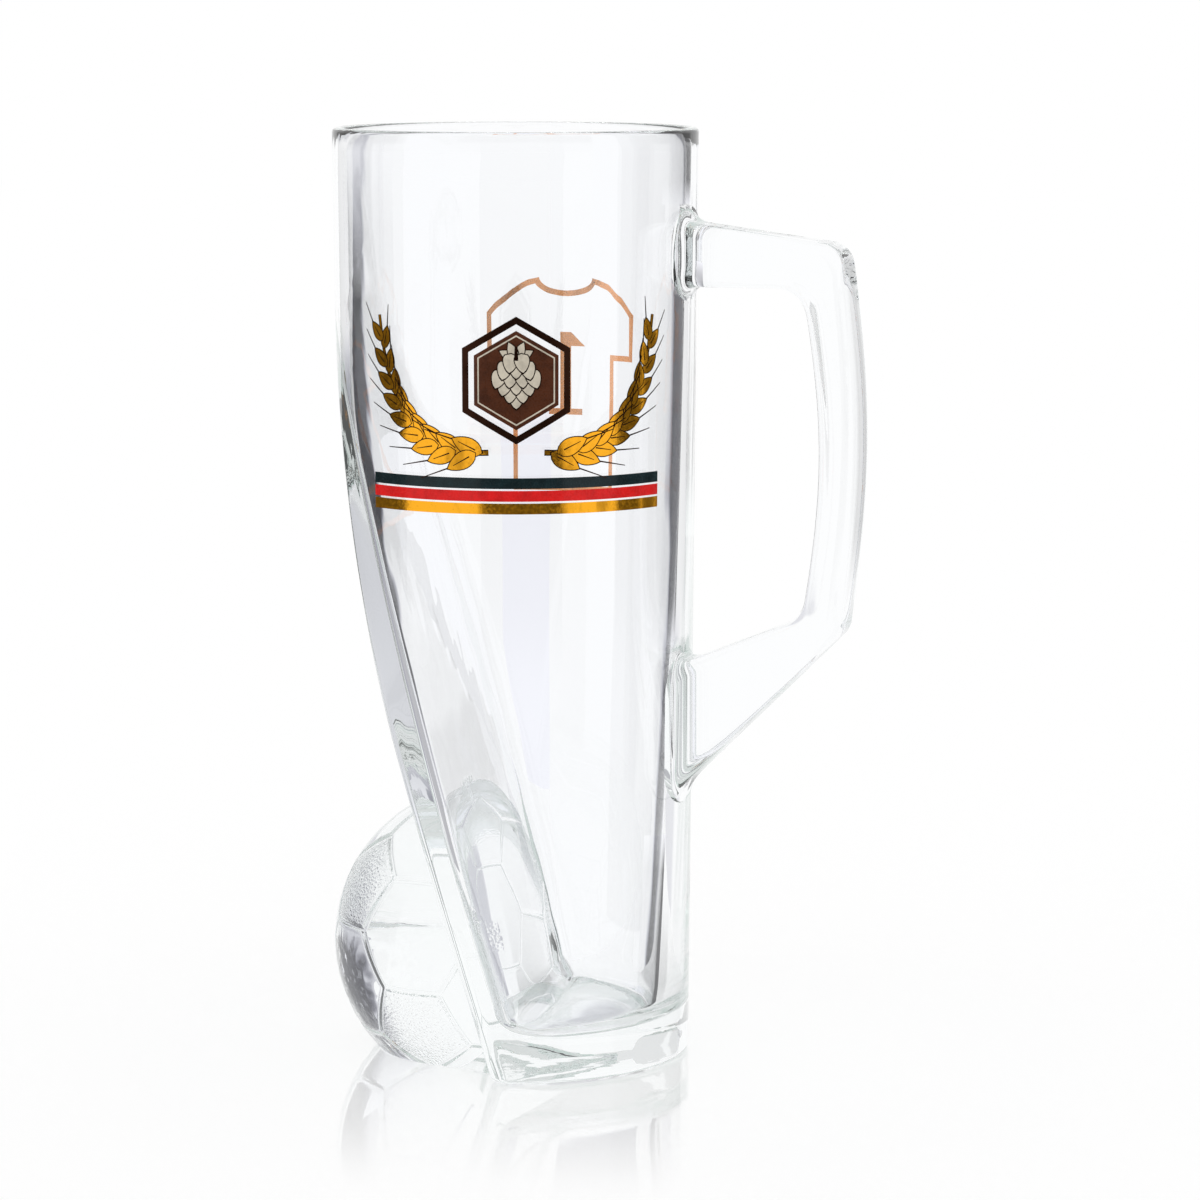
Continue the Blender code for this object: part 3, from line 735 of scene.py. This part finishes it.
class PrintStack:
    """Films laid over each other on the wall, kept in one flat mesh for each ink until they are bent."""

    def __init__(self, form, size, angle):
        self.form, self.size, self.angle = form, size, angle
        self.meshes = {}
        self.lift = size.lift

    def lay(self, ink, outline, line=0.0):
        """Lays a film over a flat outline of across and up, or only a line of some width along its inside."""
        flat = bmesh.new()
        face = flat.faces.new([flat.verts.new((across, 0.0, up)) for across, up in outline])
        if line:
            flat.normal_update()
            bmesh.ops.inset_region(
                flat, faces=[face], thickness=line, use_boundary=True, use_even_offset=True
            )
            bmesh.ops.delete(flat, geom=[face], context="FACES")
        bmesh.ops.translate(flat, vec=Vector((0.0, self.lift, 0.0)), verts=flat.verts)
        grown = bmesh.ops.extrude_face_region(flat, geom=flat.faces[:])["geom"]
        top = [item for item in grown if isinstance(item, bmesh.types.BMVert)]
        bmesh.ops.translate(flat, vec=Vector((0.0, self.size.film, 0.0)), verts=top)
        data = bpy.data.meshes.new("film")
        flat.to_mesh(data)
        flat.free()
        self.meshes.setdefault(ink, bmesh.new()).from_mesh(data)
        bpy.data.meshes.remove(data)
        self.lift += LAYER_STEP

    def lay_leaf(self, line_ink, ink, *form):
        """Lays a leaf with a thin line round it."""
        self.lay(line_ink, leaf(*form, EDGE_LINE))
        self.lay(ink, leaf(*form))

    def piece(self, ink, name, slot, material, *nodes):
        """Bends an ink's films round the wall and makes them a piece of the mug."""
        mesh = self.meshes.pop(ink)
        low = min(vert.co.x for vert in mesh.verts)
        high = max(vert.co.x for vert in mesh.verts)
        for number in range(1, math.ceil((high - low) / self.size.step)):
            everything = mesh.verts[:] + mesh.edges[:] + mesh.faces[:]
            place = Vector((low + self.size.step * number, 0.0, 0.0))
            bmesh.ops.bisect_plane(mesh, geom=everything, plane_co=place, plane_no=Vector((1.0, 0.0, 0.0)))
        for vert in mesh.verts:
            across, height, up = vert.co
            radius = self.form.radius(up) + height
            around = self.angle + across / self.form.rim_radius
            vert.co = Vector((radius * math.cos(around), radius * math.sin(around), up))
        bmesh.ops.recalc_face_normals(mesh, faces=mesh.faces)
        film = finished(mesh, name)
        film.data.materials.append(material)
        if nodes:
            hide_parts(*nodes)
        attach(film, "root")


LEAF_STEPS = 9


def leaf(base, way, long, wide, fullness, bluntness, grow=0.0):
    """Outline of a pointed leaf from its base along a direction; grow widens it all round."""
    side = Vector((-way.y, way.x))
    start = base - way * grow
    long, wide = long + grow * 2.6, wide + grow * 2.0
    left, right = [], []
    for step in range(1, LEAF_STEPS):
        part = step / LEAF_STEPS
        half = wide / 2 * math.sin(math.pi * part**fullness) ** bluntness
        left.append(start + way * (long * part) + side * half)
        right.append(start + way * (long * part) - side * half)
    return [start, *right, start + way * long, *reversed(left)]


def strip(points, start_width, end_width):
    """Outline of a strip along a line of points, from one width to another."""
    left, right = [], []
    for number, point in enumerate(points):
        way = (points[min(number + 1, len(points) - 1)] - points[max(number - 1, 0)]).normalized()
        side = Vector((-way.y, way.x)) * (between(start_width, end_width, number / (len(points) - 1)) / 2)
        left.append(point + side)
        right.append(point - side)
    return right + left[::-1]


def turned(way, degrees):
    return Matrix.Rotation(math.radians(degrees), 2) @ way


def hexagon(size, radius):
    corners = [math.pi / 6 + math.pi / 3 * number for number in range(6)]
    return [Vector((radius * math.cos(angle), size.badge_z + radius * math.sin(angle))) for angle in corners]


def enamel_material(name, shade, worn, gloss):
    """Fired enamel: a little uneven, between its shade and a worn part of it, under its own gloss."""
    material, wire = blank_material(name)
    place = wire.add("TexCoord", out="Object")
    cloud = wire.add("TexNoise", {"Vector": place, "Scale": 420.0, "Detail": 4.0, "Roughness": 0.6})
    grain = wire.add("TexNoise", {"Vector": place, "Scale": 2600.0, "Detail": 2.0})
    bump = {"Strength": 0.25, "Distance": 0.00005, "Height": grain}
    ink = wire.add("BsdfPrincipled", {
        "Base Color": cloud.step(0.35, 0.75).mix(opaque(shade), opaque(shade, worn)),
        "Roughness": grain.step(0.2, 0.8, gloss, gloss + 0.15),
        "Specular IOR Level": 0.15,
        "Coat Weight": 0.15,
        "Coat Roughness": 0.08,
        "Normal": wire.add("Bump", bump, out="Normal"),
    })
    wire.add("OutputMaterial", {"Surface": ink})
    return material


def lustre_material(name, shade, deep, gloss, streaks):
    """Fired metal lustre: a thin mirror with streaks of a deep part of its shade where it is thinner."""
    material, wire = blank_material(name)
    place = wire.add("TexCoord", out="Object")
    drawn = wire.add("Mapping", {"Vector": place, "Scale": (1.0, 1.0, 0.45)})
    cloud = wire.add("TexNoise", {"Vector": drawn, "Scale": streaks, "Detail": 5.0, "Roughness": 0.62})
    flecks = wire.add("TexNoise", {"Vector": place, "Scale": 1500.0, "Detail": 3.0})
    tone = wire.sum("MINIMUM", cloud.step(0.48, 0.72) + flecks.step(0.62, 0.8) * 0.6, 1.0)
    bump = {"Strength": 0.3, "Distance": 0.0001, "Height": cloud + flecks * 0.15}
    metal = wire.add("BsdfPrincipled", {
        "Base Color": tone.mix(opaque(shade), opaque(shade, deep)),
        "Metallic": 1.0,
        "Roughness": flecks.step(0.3, 0.8, gloss, gloss + 0.12),
        "Normal": wire.add("Bump", bump, out="Normal"),
    })
    wire.add("OutputMaterial", {"Surface": metal})
    return material


def gold_lustre(name, colours):
    return lustre_material(name, colours.gold, 0.55, 0.10, 160.0)


def dark_lustre(name, colours):
    return lustre_material(name, colours.line, 0.5, 0.25, 220.0)


def print_settings():
    """Sizes and colours of the print, and the vessel that it goes on."""
    settings = mug_settings()
    return settings.print, settings.colours, VesselForm(settings.vessel)


HOP_ROWS = ((-0.0050, 1), (-0.0036, 2), (-0.0020, 3), (-0.0004, 4), (0.0014, 3), (0.0028, 2))
BRACT_FORM = (0.0040, 0.0031, 0.62, 0.62)
BRACT_SPACING = 0.0021
BRACT_RISE, BRACT_DROP, BRACT_FAN = 0.0030, 0.0003, 13.0
SPROUT_LEANS = (-62.0, 62.0, -24.0, 24.0)
SPROUT_RISE = 0.0044
SPROUT_FORM = (0.0040, 0.0021, 0.75, 0.9)
HOP_STEM = (0.0042, 0.0056, 0.0072)
HOP_STEM_WIDTHS = (0.0009, 0.0006)
PALE_LINE_INSET, PALE_LINE = 0.0009, 0.00030


class MugMakeBadge(bpy.types.Operator):
    """Makes the badge: an enamel hexagon with a hop cone on it and a frame round it"""

    bl_idname = "beer_mug.make_badge"
    bl_label = "Badge"

    def execute(self, context):
        size, colours, form = print_settings()
        stack = PrintStack(form, size, size.front)
        frame_radius = size.badge_radius + (size.badge_gap + size.badge_frame) / math.cos(math.pi / 6)
        stack.lay("frame", hexagon(size, frame_radius), line=size.badge_frame)
        stack.lay("plate", hexagon(size, size.badge_radius))
        stack.lay("pale", hexagon(size, size.badge_radius - PALE_LINE_INSET), line=PALE_LINE)
        down = Vector((0.0, -1.0))
        for lean in SPROUT_LEANS:
            base = Vector((0.0, size.badge_z + SPROUT_RISE))
            stack.lay_leaf("lines", "pale", base, turned(-down, lean), *SPROUT_FORM)
        for rise, count in HOP_ROWS:
            for number in range(count):
                offset = number - (count - 1) / 2
                up = size.badge_z + rise + BRACT_RISE - abs(offset) * BRACT_DROP
                base = Vector((offset * BRACT_SPACING, up))
                way = turned(down, offset * BRACT_FAN)
                stack.lay_leaf("lines", "pale", base, way, *BRACT_FORM)
        stem = [Vector((0.0, size.badge_z + up)) for up in HOP_STEM]
        stack.lay("lines", strip(stem, *HOP_STEM_WIDTHS))
        plate = enamel_material("brown_enamel", colours.brown, 0.6, 0.22)
        line = dark_lustre("dark_lustre", colours)
        pale = enamel_material("pale_enamel", colours.pale, 0.72, 0.3)
        stack.piece("frame", "badge_frame_film", "dark_lustre", line, "badge_frame")
        stack.piece("plate", "badge_plate_film", "brown_enamel", plate, "badge_plate")
        stack.piece("lines", "hop_lines", "dark_lustre", line)
        stack.piece("pale", "hop_cone", "gold_lustre", pale)
        return {"FINISHED"}


EAR_START, EAR_TURN, EAR_TIP = (0.0060, 0.1372), (0.0300, 0.1352), (0.0330, 0.1675)
EAR_GRAINS = 9
EAR_TAPER = 0.62
GRAIN_LONG, GRAIN_WIDE = 0.0072, 0.0036
GRAIN_LEAN = 27.0
GRAIN_FIRST, GRAIN_SPAN, GRAIN_STAGGER = 0.03, 0.92, 0.03
AWN_LONG, AWN_START, AWN_TURN = 0.0075, 0.92, 0.35
AWN_WIDTHS = (0.00034, 0.00018)
CREASE = (0.22, 0.5, 0.8)
CREASE_WIDTHS = (0.00030, 0.00014)
STEM_POINTS, STEM_END = 14, 0.97
STEM_LINE_WIDTHS, STEM_WIDTHS = (0.0013, 0.0009), (0.0008, 0.0005)


class MugMakeBarley(bpy.types.Operator):
    """Makes the two barley ears with their grains, awns and dark lines"""

    bl_idname = "beer_mug.make_barley"
    bl_label = "Barley ears"

    def execute(self, context):
        size, colours, form = print_settings()
        gold = gold_lustre("gold_lustre", colours)
        line = dark_lustre("ear_line", colours)
        for name, side in (("left", -1.0), ("right", 1.0)):
            stack = PrintStack(form, size, size.front)
            self.lay_ear(stack, side)
            stack.piece("line", f"barley_{name}_lines", "dark_lustre", line)
            stack.piece("gold", f"barley_{name}_gold", "gold_lustre", gold, f"barley_{name}")
        return {"FINISHED"}

    def lay_ear(self, stack, side):
        start, bend, tip = (Vector((side * across, up)) for across, up in (EAR_START, EAR_TURN, EAR_TIP))

        def spot(part):
            return start * (1 - part) ** 2 + bend * (2 * part * (1 - part)) + tip * part**2

        def heading(part):
            return ((bend - start) * (1 - part) + (tip - bend) * part).normalized()

        stem = [spot(number / STEM_POINTS * STEM_END) for number in range(STEM_POINTS + 1)]
        stack.lay("line", strip(stem, *STEM_LINE_WIDTHS))
        stack.lay("gold", strip(stem, *STEM_WIDTHS))
        for grain in reversed(range(EAR_GRAINS)):
            part = grain / EAR_GRAINS * GRAIN_SPAN + GRAIN_FIRST
            scale = between(1.0, EAR_TAPER, part)
            for lean in (-GRAIN_LEAN, GRAIN_LEAN):
                base = spot(part + (GRAIN_STAGGER if lean > 0 else 0.0))
                way = turned(heading(part), lean)
                long, wide = GRAIN_LONG * scale, GRAIN_WIDE * scale
                end = base + way * (long * AWN_START)
                awn = [end, end + turned(way, -lean * AWN_TURN) * (AWN_LONG * scale)]
                stack.lay("line", strip(awn, *AWN_WIDTHS))
                stack.lay_leaf("line", "gold", base, way, long, wide, 0.80, 0.8)
                crease = [base + way * (long * along) for along in CREASE]
                stack.lay("line", strip(crease, *CREASE_WIDTHS))


class MugMakeStripes(bpy.types.Operator):
    """Makes the three bands under the badge"""

    bl_idname = "beer_mug.make_stripes"
    bl_label = "Stripes"

    def execute(self, context):
        size, colours, form = print_settings()
        stripes = (
            ("black", "black_enamel", enamel_material("black_enamel", colours.black, 1.8, 0.18)),
            ("red", "red_enamel", enamel_material("red_enamel", colours.red, 0.75, 0.2)),
            ("gold", "gold_lustre", gold_lustre("gold_band", colours)),
        )
        for order, (name, slot, material) in enumerate(stripes):
            stack = PrintStack(form, size, size.front)
            top = size.stripe_top - order * (size.stripe_height + size.stripe_gap)
            low, reach = top - size.stripe_height, size.stripe_half
            corners = ((-reach, low), (reach, low), (reach, top), (-reach, top))
            stack.lay(name, corners)
            stack.piece(name, f"stripe_{name}_film", slot, material, f"stripe_{name}")
        return {"FINISHED"}


NECK_STEPS = 8
SHOULDER_STEPS = 6
SHOULDER_BEND = 1.6


def shirt_outline(size):
    """A plain short-sleeved shirt with a round neck and sloping shoulders."""
    cuff, foot = size.shirt_top - size.shirt_cuff, size.shirt_top - size.shirt_height
    half = []
    for step in range(NECK_STEPS + 1):
        angle = math.pi / 2 * (step + 0.5) / (NECK_STEPS + 0.5)
        half.append((size.shirt_neck * math.sin(angle), size.shirt_top - size.shirt_scoop * math.cos(angle)))
    reach = size.shirt_half - size.shirt_neck
    for step in range(1, SHOULDER_STEPS + 1):
        out = step / SHOULDER_STEPS
        drop = size.shirt_shoulder * out**SHOULDER_BEND
        half.append((size.shirt_neck + reach * out, size.shirt_top - drop))
    half += [(size.shirt_half, cuff), (size.shirt_body, cuff), (size.shirt_body, foot)]
    return half + [(-across, up) for across, up in reversed(half)]


def numeral_outline(size):
    """A plain upright one with a flag and a foot."""
    half, top = size.numeral_stroke / 2, size.numeral_top
    foot, flag, reach = top - size.numeral_height, size.numeral_flag, size.numeral_foot
    ledge = foot + size.numeral_foot_height
    return [
        (-reach, foot), (reach, foot), (reach, ledge), (half, ledge), (half, top), (-half, top),
        (-half - flag, top - flag), (-half, top - flag), (-half, ledge), (-reach, ledge),
    ]


class MugMakeShirt(bpy.types.Operator):
    """Makes the outline of a shirt and its numeral on the back"""

    bl_idname = "beer_mug.make_shirt"
    bl_label = "Shirt"

    def execute(self, context):
        size, colours, form = print_settings()
        stack = PrintStack(form, size, size.back)
        stack.lay("outline", shirt_outline(size), line=size.shirt_line)
        stack.lay("numeral", numeral_outline(size))
        copper = lustre_material("copper_lustre", colours.copper, 0.5, 0.2, 110.0)
        stack.piece("outline", "shirt_outline_film", "copper_lustre", copper, "shirt_outline")
        stack.piece("numeral", "shirt_numeral_film", "copper_lustre", copper, "shirt_numeral")
        return {"FINISHED"}


CAMERA_AZIMUTH = math.radians(20.0)
CAMERA_DISTANCE = 0.950
CAMERA_HEIGHT = 0.233
CAMERA_PITCH = math.radians(7.95)
CAMERA_YAW = math.radians(1.11)
CAMERA_LENS, CAMERA_SENSOR = 130.05, 36.0


def add_camera():
    data = bpy.data.cameras.new("photo_camera")
    data.lens, data.sensor_width = CAMERA_LENS, CAMERA_SENSOR
    data.clip_start = 0.01
    camera = bpy.data.objects.new("photo_camera", data)
    camera.location = (
        AXIS_X + CAMERA_DISTANCE * math.sin(CAMERA_AZIMUTH),
        -CAMERA_DISTANCE * math.cos(CAMERA_AZIMUTH),
        CAMERA_HEIGHT,
    )
    camera.rotation_euler = (math.pi / 2 - CAMERA_PITCH, 0.0, CAMERA_AZIMUTH - CAMERA_YAW)
    bpy.context.scene.collection.objects.link(camera)
    bpy.context.scene.camera = camera


def path_depth(wire, kind, least):
    """One for rays with at least so many bounces of a kind."""
    return wire.add("LightPath", out=f"{kind} Depth") > least - 0.5


def mirrored_once(wire):
    """One for rays with a single reflection."""
    return path_depth(wire, "Glossy", 1) - path_depth(wire, "Glossy", 2)


SECOND_LOSS, THIRD_LOSS, MIRROR_LOSS = 0.18, 0.08, 0.92


def clear_share(wire, mirror_side):
    """Share of the white surroundings that shows after bounces in the glass, less where it mirrors a side:
    painted shade in the glass.
    """
    lost = path_depth(wire, "Glossy", 2) * SECOND_LOSS + path_depth(wire, "Glossy", 3) * THIRD_LOSS
    mirrored = path_depth(wire, "Transmission", 4) * mirrored_once(wire) * mirror_side
    return (1.0 - path_depth(wire, "Transmission", 1) * lost) * (1.0 - mirrored * MIRROR_LOSS)


FLOOR_SIZE, FLOOR_DROP = 4.0, -0.0002
FLOOR_GLOW = 0.60
SHEEN_START, SHEEN_END, SHEEN = 0.035, 0.128, 0.45


def floor_material():
    """White floor with a mirror sheen round the mug that fades out. Its glow is dimmed for rays that bounced
    in the glass, and between 0.5 m and 2 m out for rays mirrored once after four walls: painted shade in the
    glass.
    """
    material, wire = blank_material("studio_floor")
    place = wire.add("TexCoord", out="Object")
    distance = wire.add("VectorMath", {0: place}, out="Value", operation="LENGTH")
    sheen = distance.step(SHEEN_START, SHEEN_END, SHEEN, 0.0)
    soft = wire.add("LightPath", out="Is Diffuse Ray")
    paper = wire.add("BsdfDiffuse", {"Color": WHITE})
    strength = (1.0 - soft) * clear_share(wire, distance.step(0.5, 0.9) - distance.step(1.5, 2.0))
    white = wire.add("Emission", {"Color": WHITE, "Strength": strength})
    ground = wire.add("MixShader", {0: FLOOR_GLOW, 1: paper, 2: white})
    mirror = wire.add("BsdfGlossy", {"Color": WHITE, "Roughness": 0.02})
    surface = wire.add("MixShader", {0: sheen, 1: ground, 2: mirror})
    wire.add("OutputMaterial", {"Surface": surface})
    return material


THROUGH_GLASS_ONLY = ("camera", "diffuse", "glossy", "shadow")
REFLECTED_ONLY = ("camera", "diffuse", "transmission", "shadow")


def staged(mesh, name, material, hidden=()):
    """Puts a stage mesh in place, outside the mug's own pieces, and hides it from some kinds of ray."""
    data = bpy.data.meshes.new(name)
    mesh.to_mesh(data)
    mesh.free()
    data.materials.append(material)
    thing = bpy.data.objects.new(name, data)
    bpy.context.scene.collection.objects.link(thing)
    for kind in hidden:
        setattr(thing, f"visible_{kind}", False)
    return thing


def add_floor():
    mesh = bmesh.new()
    bmesh.ops.create_grid(mesh, x_segments=1, y_segments=1, size=FLOOR_SIZE)
    staged(mesh, "studio_floor", floor_material()).location = (0.0, 0.0, FLOOR_DROP)


def stage_point(aside, depth, up=0.0):
    """Point beside and behind the vessel's axis as the camera sees it."""
    right = Vector((math.cos(CAMERA_AZIMUTH), math.sin(CAMERA_AZIMUTH), 0.0))
    ahead = Vector((-math.sin(CAMERA_AZIMUTH), math.cos(CAMERA_AZIMUTH), 0.0))
    return Vector((AXIS_X, 0.0, up)) + right * aside + ahead * depth


def blend(first, second, part):
    """From one shade to another by a wired part."""
    return first + part * (second - first)


def right_shade(along, height, walls, mirrored):
    """For the right wall: dark past an edge that leans out, and a little grey for one wall at the foot."""
    lean = height.step(0.100, 0.118, 0.008, 0.002) + height.step(0.168, 0.190, 0.0, 0.009)
    line = (along - lean).step(-0.0035, 0.0025, 1.0, 0.04) + along.step(0.024, 0.036, 0.0, 0.96)
    return blend(1.0 - along.step(0.042, 0.055) * height.step(0.060, 0.085, 0.22, 0.0), line, walls)


def rear_shade(along, height, walls, mirrored):
    """For the ball's left side, for the glass along the facet and for the facet's reflections."""
    ball = blend(along.step(0.025, 0.085, 0.10, 0.65), 0.70, height.step(0.045, 0.065))
    ball = blend(0.60, ball, height.step(0.008, 0.016))
    return blend(ball, blend(0.85, 0.12, mirrored), walls)


def left_shade(along, height, walls, mirrored):
    """For the dark line along the facet's near corner, which fades at the foot and ends under the rim."""
    lean = height.step(0.112, 0.130, -0.0036, -0.0010) + height.step(0.090, 0.108, -0.0035, 0.0)
    end = along - height.step(0.148, 0.162, 0.010, 0.0)
    edge = (along - lean).step(-0.0010, 0.0008) - end.step(0.004, 0.009)
    line = blend(1.0, height.step(0.045, 0.080, 0.60, 0.04) + height.step(0.165, 0.200, 0.0, 0.7), edge)
    corner = height.step(0.135, 0.155, 0.42, 1.0) + height.step(0.028, 0.045, 0.58, 0.0)
    return blend(corner, line, walls)


def card_material(name, start, way, shader):
    """Shade of a card, by place on it and by the walls of glass that a ray came through."""
    material, wire = blank_material(name)
    place = wire.add("TexCoord", out="Object")
    along, height = place.towards(way) - start.dot(way), place.upward()
    walls, mirrored = path_depth(wire, "Transmission", 4), mirrored_once(wire)
    shade = shader(along, height, walls, mirrored)
    behind = wire.add("NewGeometry", out="Backfacing")
    shade = blend(shade, 1.0 - walls * mirrored * height.step(0.022, 0.034, 0.0, 0.65), behind)
    shade = blend(shade, 0.75, path_depth(wire, "Glossy", TRAPPED))
    tint = shade.mix((0.90, 0.90, 1.10, 1.0), WHITE)
    glow = wire.add("Emission", {"Color": tint, "Strength": shade})
    wire.add("OutputMaterial", {"Surface": glow})
    return material


CARD_HEIGHT = 0.240
CARD_MARGIN = 0.008
# Name, start beside and behind the axis, degrees to the right of straight ahead, length, turned round, shade.
GLASS_CARDS = (
    ("right", (0.046, 0.045), 65.0, 0.170, False, right_shade),
    ("rear", (0.0126, 0.0482), 32.0, 0.165, True, rear_shade),
    ("left", (-0.0393, 0.030), -62.0, 0.080, True, left_shade),
)


def add_glass_cards():
    """Dark cards close beside the mug, which only rays through its glass see, for its dark edges."""
    for name, (aside, depth), degrees, long, turned_round, shader in GLASS_CARDS:
        start = stage_point(aside, depth)
        angle = math.radians(degrees)
        way = stage_point(math.sin(angle), math.cos(angle)) - stage_point(0.0, 0.0)
        spots = [start - way * CARD_MARGIN, start + way * long]
        if turned_round:
            spots.reverse()
        up = Vector((0.0, 0.0, CARD_HEIGHT))
        mesh = bmesh.new()
        corners = [mesh.verts.new(spot) for spot in (*spots, spots[1] + up, spots[0] + up)]
        bmesh.ops.contextual_create(mesh, geom=corners)
        wanted = (spots[1] - spots[0]).cross(up)
        mesh.normal_update()
        if mesh.faces[:][0].normal.dot(wanted) < 0.0:
            bmesh.ops.reverse_faces(mesh, faces=mesh.faces)
        material = card_material(f"card_{name}", start, way, shader)
        staged(mesh, f"card_{name}", material, THROUGH_GLASS_ONLY)


# Two ends of a strip, beside and behind the axis, and its darkness at rising heights.
SIDE_CARDS = (
    ((0.0403, -0.0195), (0.0403, -0.0088), ((0.090, 0.0), (0.100, 0.9), (0.170, 0.9), (0.176, 0.0))),
    ((0.0406, -0.0195), (0.0406, -0.0055), ((0.188, 0.0), (0.193, 0.9), (0.205, 0.9))),
    ((0.0396, -0.0195), (0.0396, -0.0100), ((0.0, 0.9), (0.040, 0.9), (0.048, 0.0))),
    ((0.1100, -0.0600), (0.1100, 0.0120), ((0.0, 0.9), (CARD_HEIGHT, 0.9))),
    ((-0.0040, 0.0600), (0.0160, 0.0600), ((0.045, 0.0), (0.060, 0.3), (0.125, 0.3), (0.140, 0.0))),
    (
        (-0.0700, -0.0300), (-0.0700, 0.0250),
        ((0.020, 0.5), (0.095, 0.5), (0.115, 0.9), (0.180, 0.9), (0.198, 0.0)),
    ),
)


def add_side_cards():
    """Dark strips beside the walls and the handle, for rays that come out of one wall of glass only."""
    material, wire = blank_material("card_side")
    dark = wire.add("Attribute", out="Fac", attribute_name="dark")
    trapped = path_depth(wire, "Glossy", TRAPPED)
    shade = 1.0 - dark * (1.0 - path_depth(wire, "Transmission", 4)) * (1.0 - trapped)
    glow = wire.add("Emission", {"Color": (0.95, 0.95, 1.0, 1.0), "Strength": shade})
    behind = wire.add("NewGeometry", out="Backfacing")
    sided = wire.add("MixShader", {0: behind, 1: glow, 2: wire.add("BsdfTransparent")})
    wire.add("OutputMaterial", {"Surface": sided})
    mesh = bmesh.new()
    darkness = mesh.verts.layers.float.new("dark")
    for *ends, stops in SIDE_CARDS:
        rows = []
        for height, share in stops:
            rows.append([mesh.verts.new(stage_point(*end, height)) for end in ends])
            for vert in rows[-1]:
                vert[darkness] = share
        for low, high in zip(rows, rows[1:]):
            bmesh.ops.contextual_create(mesh, geom=low + high[::-1])
    mesh.normal_update()
    axis = stage_point(0.0, 0.0)
    outward = [face for face in mesh.faces if face.normal.dot(face.calc_center_median() - axis) > 0.0]
    bmesh.ops.reverse_faces(mesh, faces=outward)
    staged(mesh, "card_side", material, THROUGH_GLASS_ONLY)


LUSTRE_CARD_RADIUS = 0.50
LUSTRE_CARD_HEIGHT = 0.340
LUSTRE_CARDS = ((-125.0, -52.0), (-2.0, 48.0), (84.0, 158.0))


def add_lustre_cards():
    """Dark cards round the front, which only reflections see, for the lustre's light and dark."""
    material, wire = blank_material("lustre_card")
    height = wire.add("TexCoord", out="Object").upward()
    shade = height.step(0.090, LUSTRE_CARD_HEIGHT, 0.11, 1.0) + height.step(0.0, 0.045, 0.89, 0.0)
    glow = wire.add("Emission", {"Color": WHITE, "Strength": shade})
    wire.add("OutputMaterial", {"Surface": glow})
    axis, upright = Vector((AXIS_X, 0.0, 0.0)), Vector((0.0, 0.0, 1.0))
    for number, ends in enumerate(LUSTRE_CARDS):
        start, end = (math.radians(degrees) for degrees in ends)
        mesh = bmesh.new()
        foot = axis + Vector((math.sin(start), -math.cos(start), 0.0)) * LUSTRE_CARD_RADIUS
        post = [mesh.verts.new(foot), mesh.verts.new(foot + upright * LUSTRE_CARD_HEIGHT)]
        edge = bmesh.ops.contextual_create(mesh, geom=post)["edges"]
        bmesh.ops.spin(mesh, geom=post + edge, cent=axis, axis=upright, angle=end - start, steps=16)
        staged(mesh, f"lustre_card_{number}", material, REFLECTED_ONLY)


def add_world():
    """White light all round, dimmed for rays that bounced in the glass and for rays mirrored once after four
    walls that go to the right and upward: painted shade in the glass.
    """
    world = bpy.data.worlds.new("studio")
    world.use_nodes = True
    world.node_tree.nodes.clear()
    wire = Wire(world.node_tree)
    way = wire.add("TexCoord", out="Generated")
    sideways = way.towards(stage_point(1.0, 0.0) - stage_point(0.0, 0.0))
    strength = clear_share(wire, sideways.step(0.2, 0.4) * way.upward().step(-0.02, 0.03))
    light = wire.add("Background", {"Color": WHITE, "Strength": strength})
    wire.add("OutputWorld", {"Surface": light})
    bpy.context.scene.world = world


MAX_BOUNCES, MAX_REFLECTIONS = 40, 32


class MugMakeStage(bpy.types.Operator):
    """Makes the floor, the studio light and the camera"""

    bl_idname = "beer_mug.make_stage"
    bl_label = "Stage"

    def execute(self, context):
        add_floor()
        add_glass_cards()
        add_side_cards()
        add_lustre_cards()
        add_world()
        light_paths = context.scene.cycles
        light_paths.max_bounces = light_paths.transmission_bounces = MAX_BOUNCES
        light_paths.glossy_bounces = MAX_REFLECTIONS
        add_camera()
        context.scene.view_settings.view_transform = "Standard"
        return {"FINISHED"}


class MugSettings(bpy.types.PropertyGroup):
    """Everything that a user would change on the mug."""

    vessel: PointerProperty(type=MugVesselSizes)
    handle: PointerProperty(type=MugHandleSizes)
    football: PointerProperty(type=MugFootballSizes)
    print: PointerProperty(type=MugPrintSizes)
    colours: PointerProperty(type=MugColours)


class MugPanel(bpy.types.Panel):
    """Lists the steps that make the mug."""

    bl_idname = "VIEW3D_PT_beer_mug"
    bl_label = "Beer Mug"
    bl_space_type = "VIEW_3D"
    bl_region_type = "UI"
    bl_category = "Beer Mug"

    def draw(self, context):
        for operator in OPERATORS:
            self.layout.operator(operator.bl_idname)


GROUPS = (MugVesselSizes, MugHandleSizes, MugFootballSizes, MugPrintSizes, MugColours, MugSettings)
OPERATORS = (MugMakeGlass, MugMakeBadge, MugMakeBarley, MugMakeStripes, MugMakeShirt, MugMakeStage)


def register():
    for kind in (*GROUPS, *OPERATORS, MugPanel):
        bpy.utils.register_class(kind)
    bpy.types.Scene.beer_mug = PointerProperty(type=MugSettings)


def unregister():
    del bpy.types.Scene.beer_mug
    for kind in reversed((*GROUPS, *OPERATORS, MugPanel)):
        bpy.utils.unregister_class(kind)


def main():
    register()
    bpy.ops.beer_mug.make_glass()
    bpy.ops.beer_mug.make_badge()
    bpy.ops.beer_mug.make_barley()
    bpy.ops.beer_mug.make_stripes()
    bpy.ops.beer_mug.make_shirt()
    bpy.ops.beer_mug.make_stage()


if __name__ == "__main__":
    main()
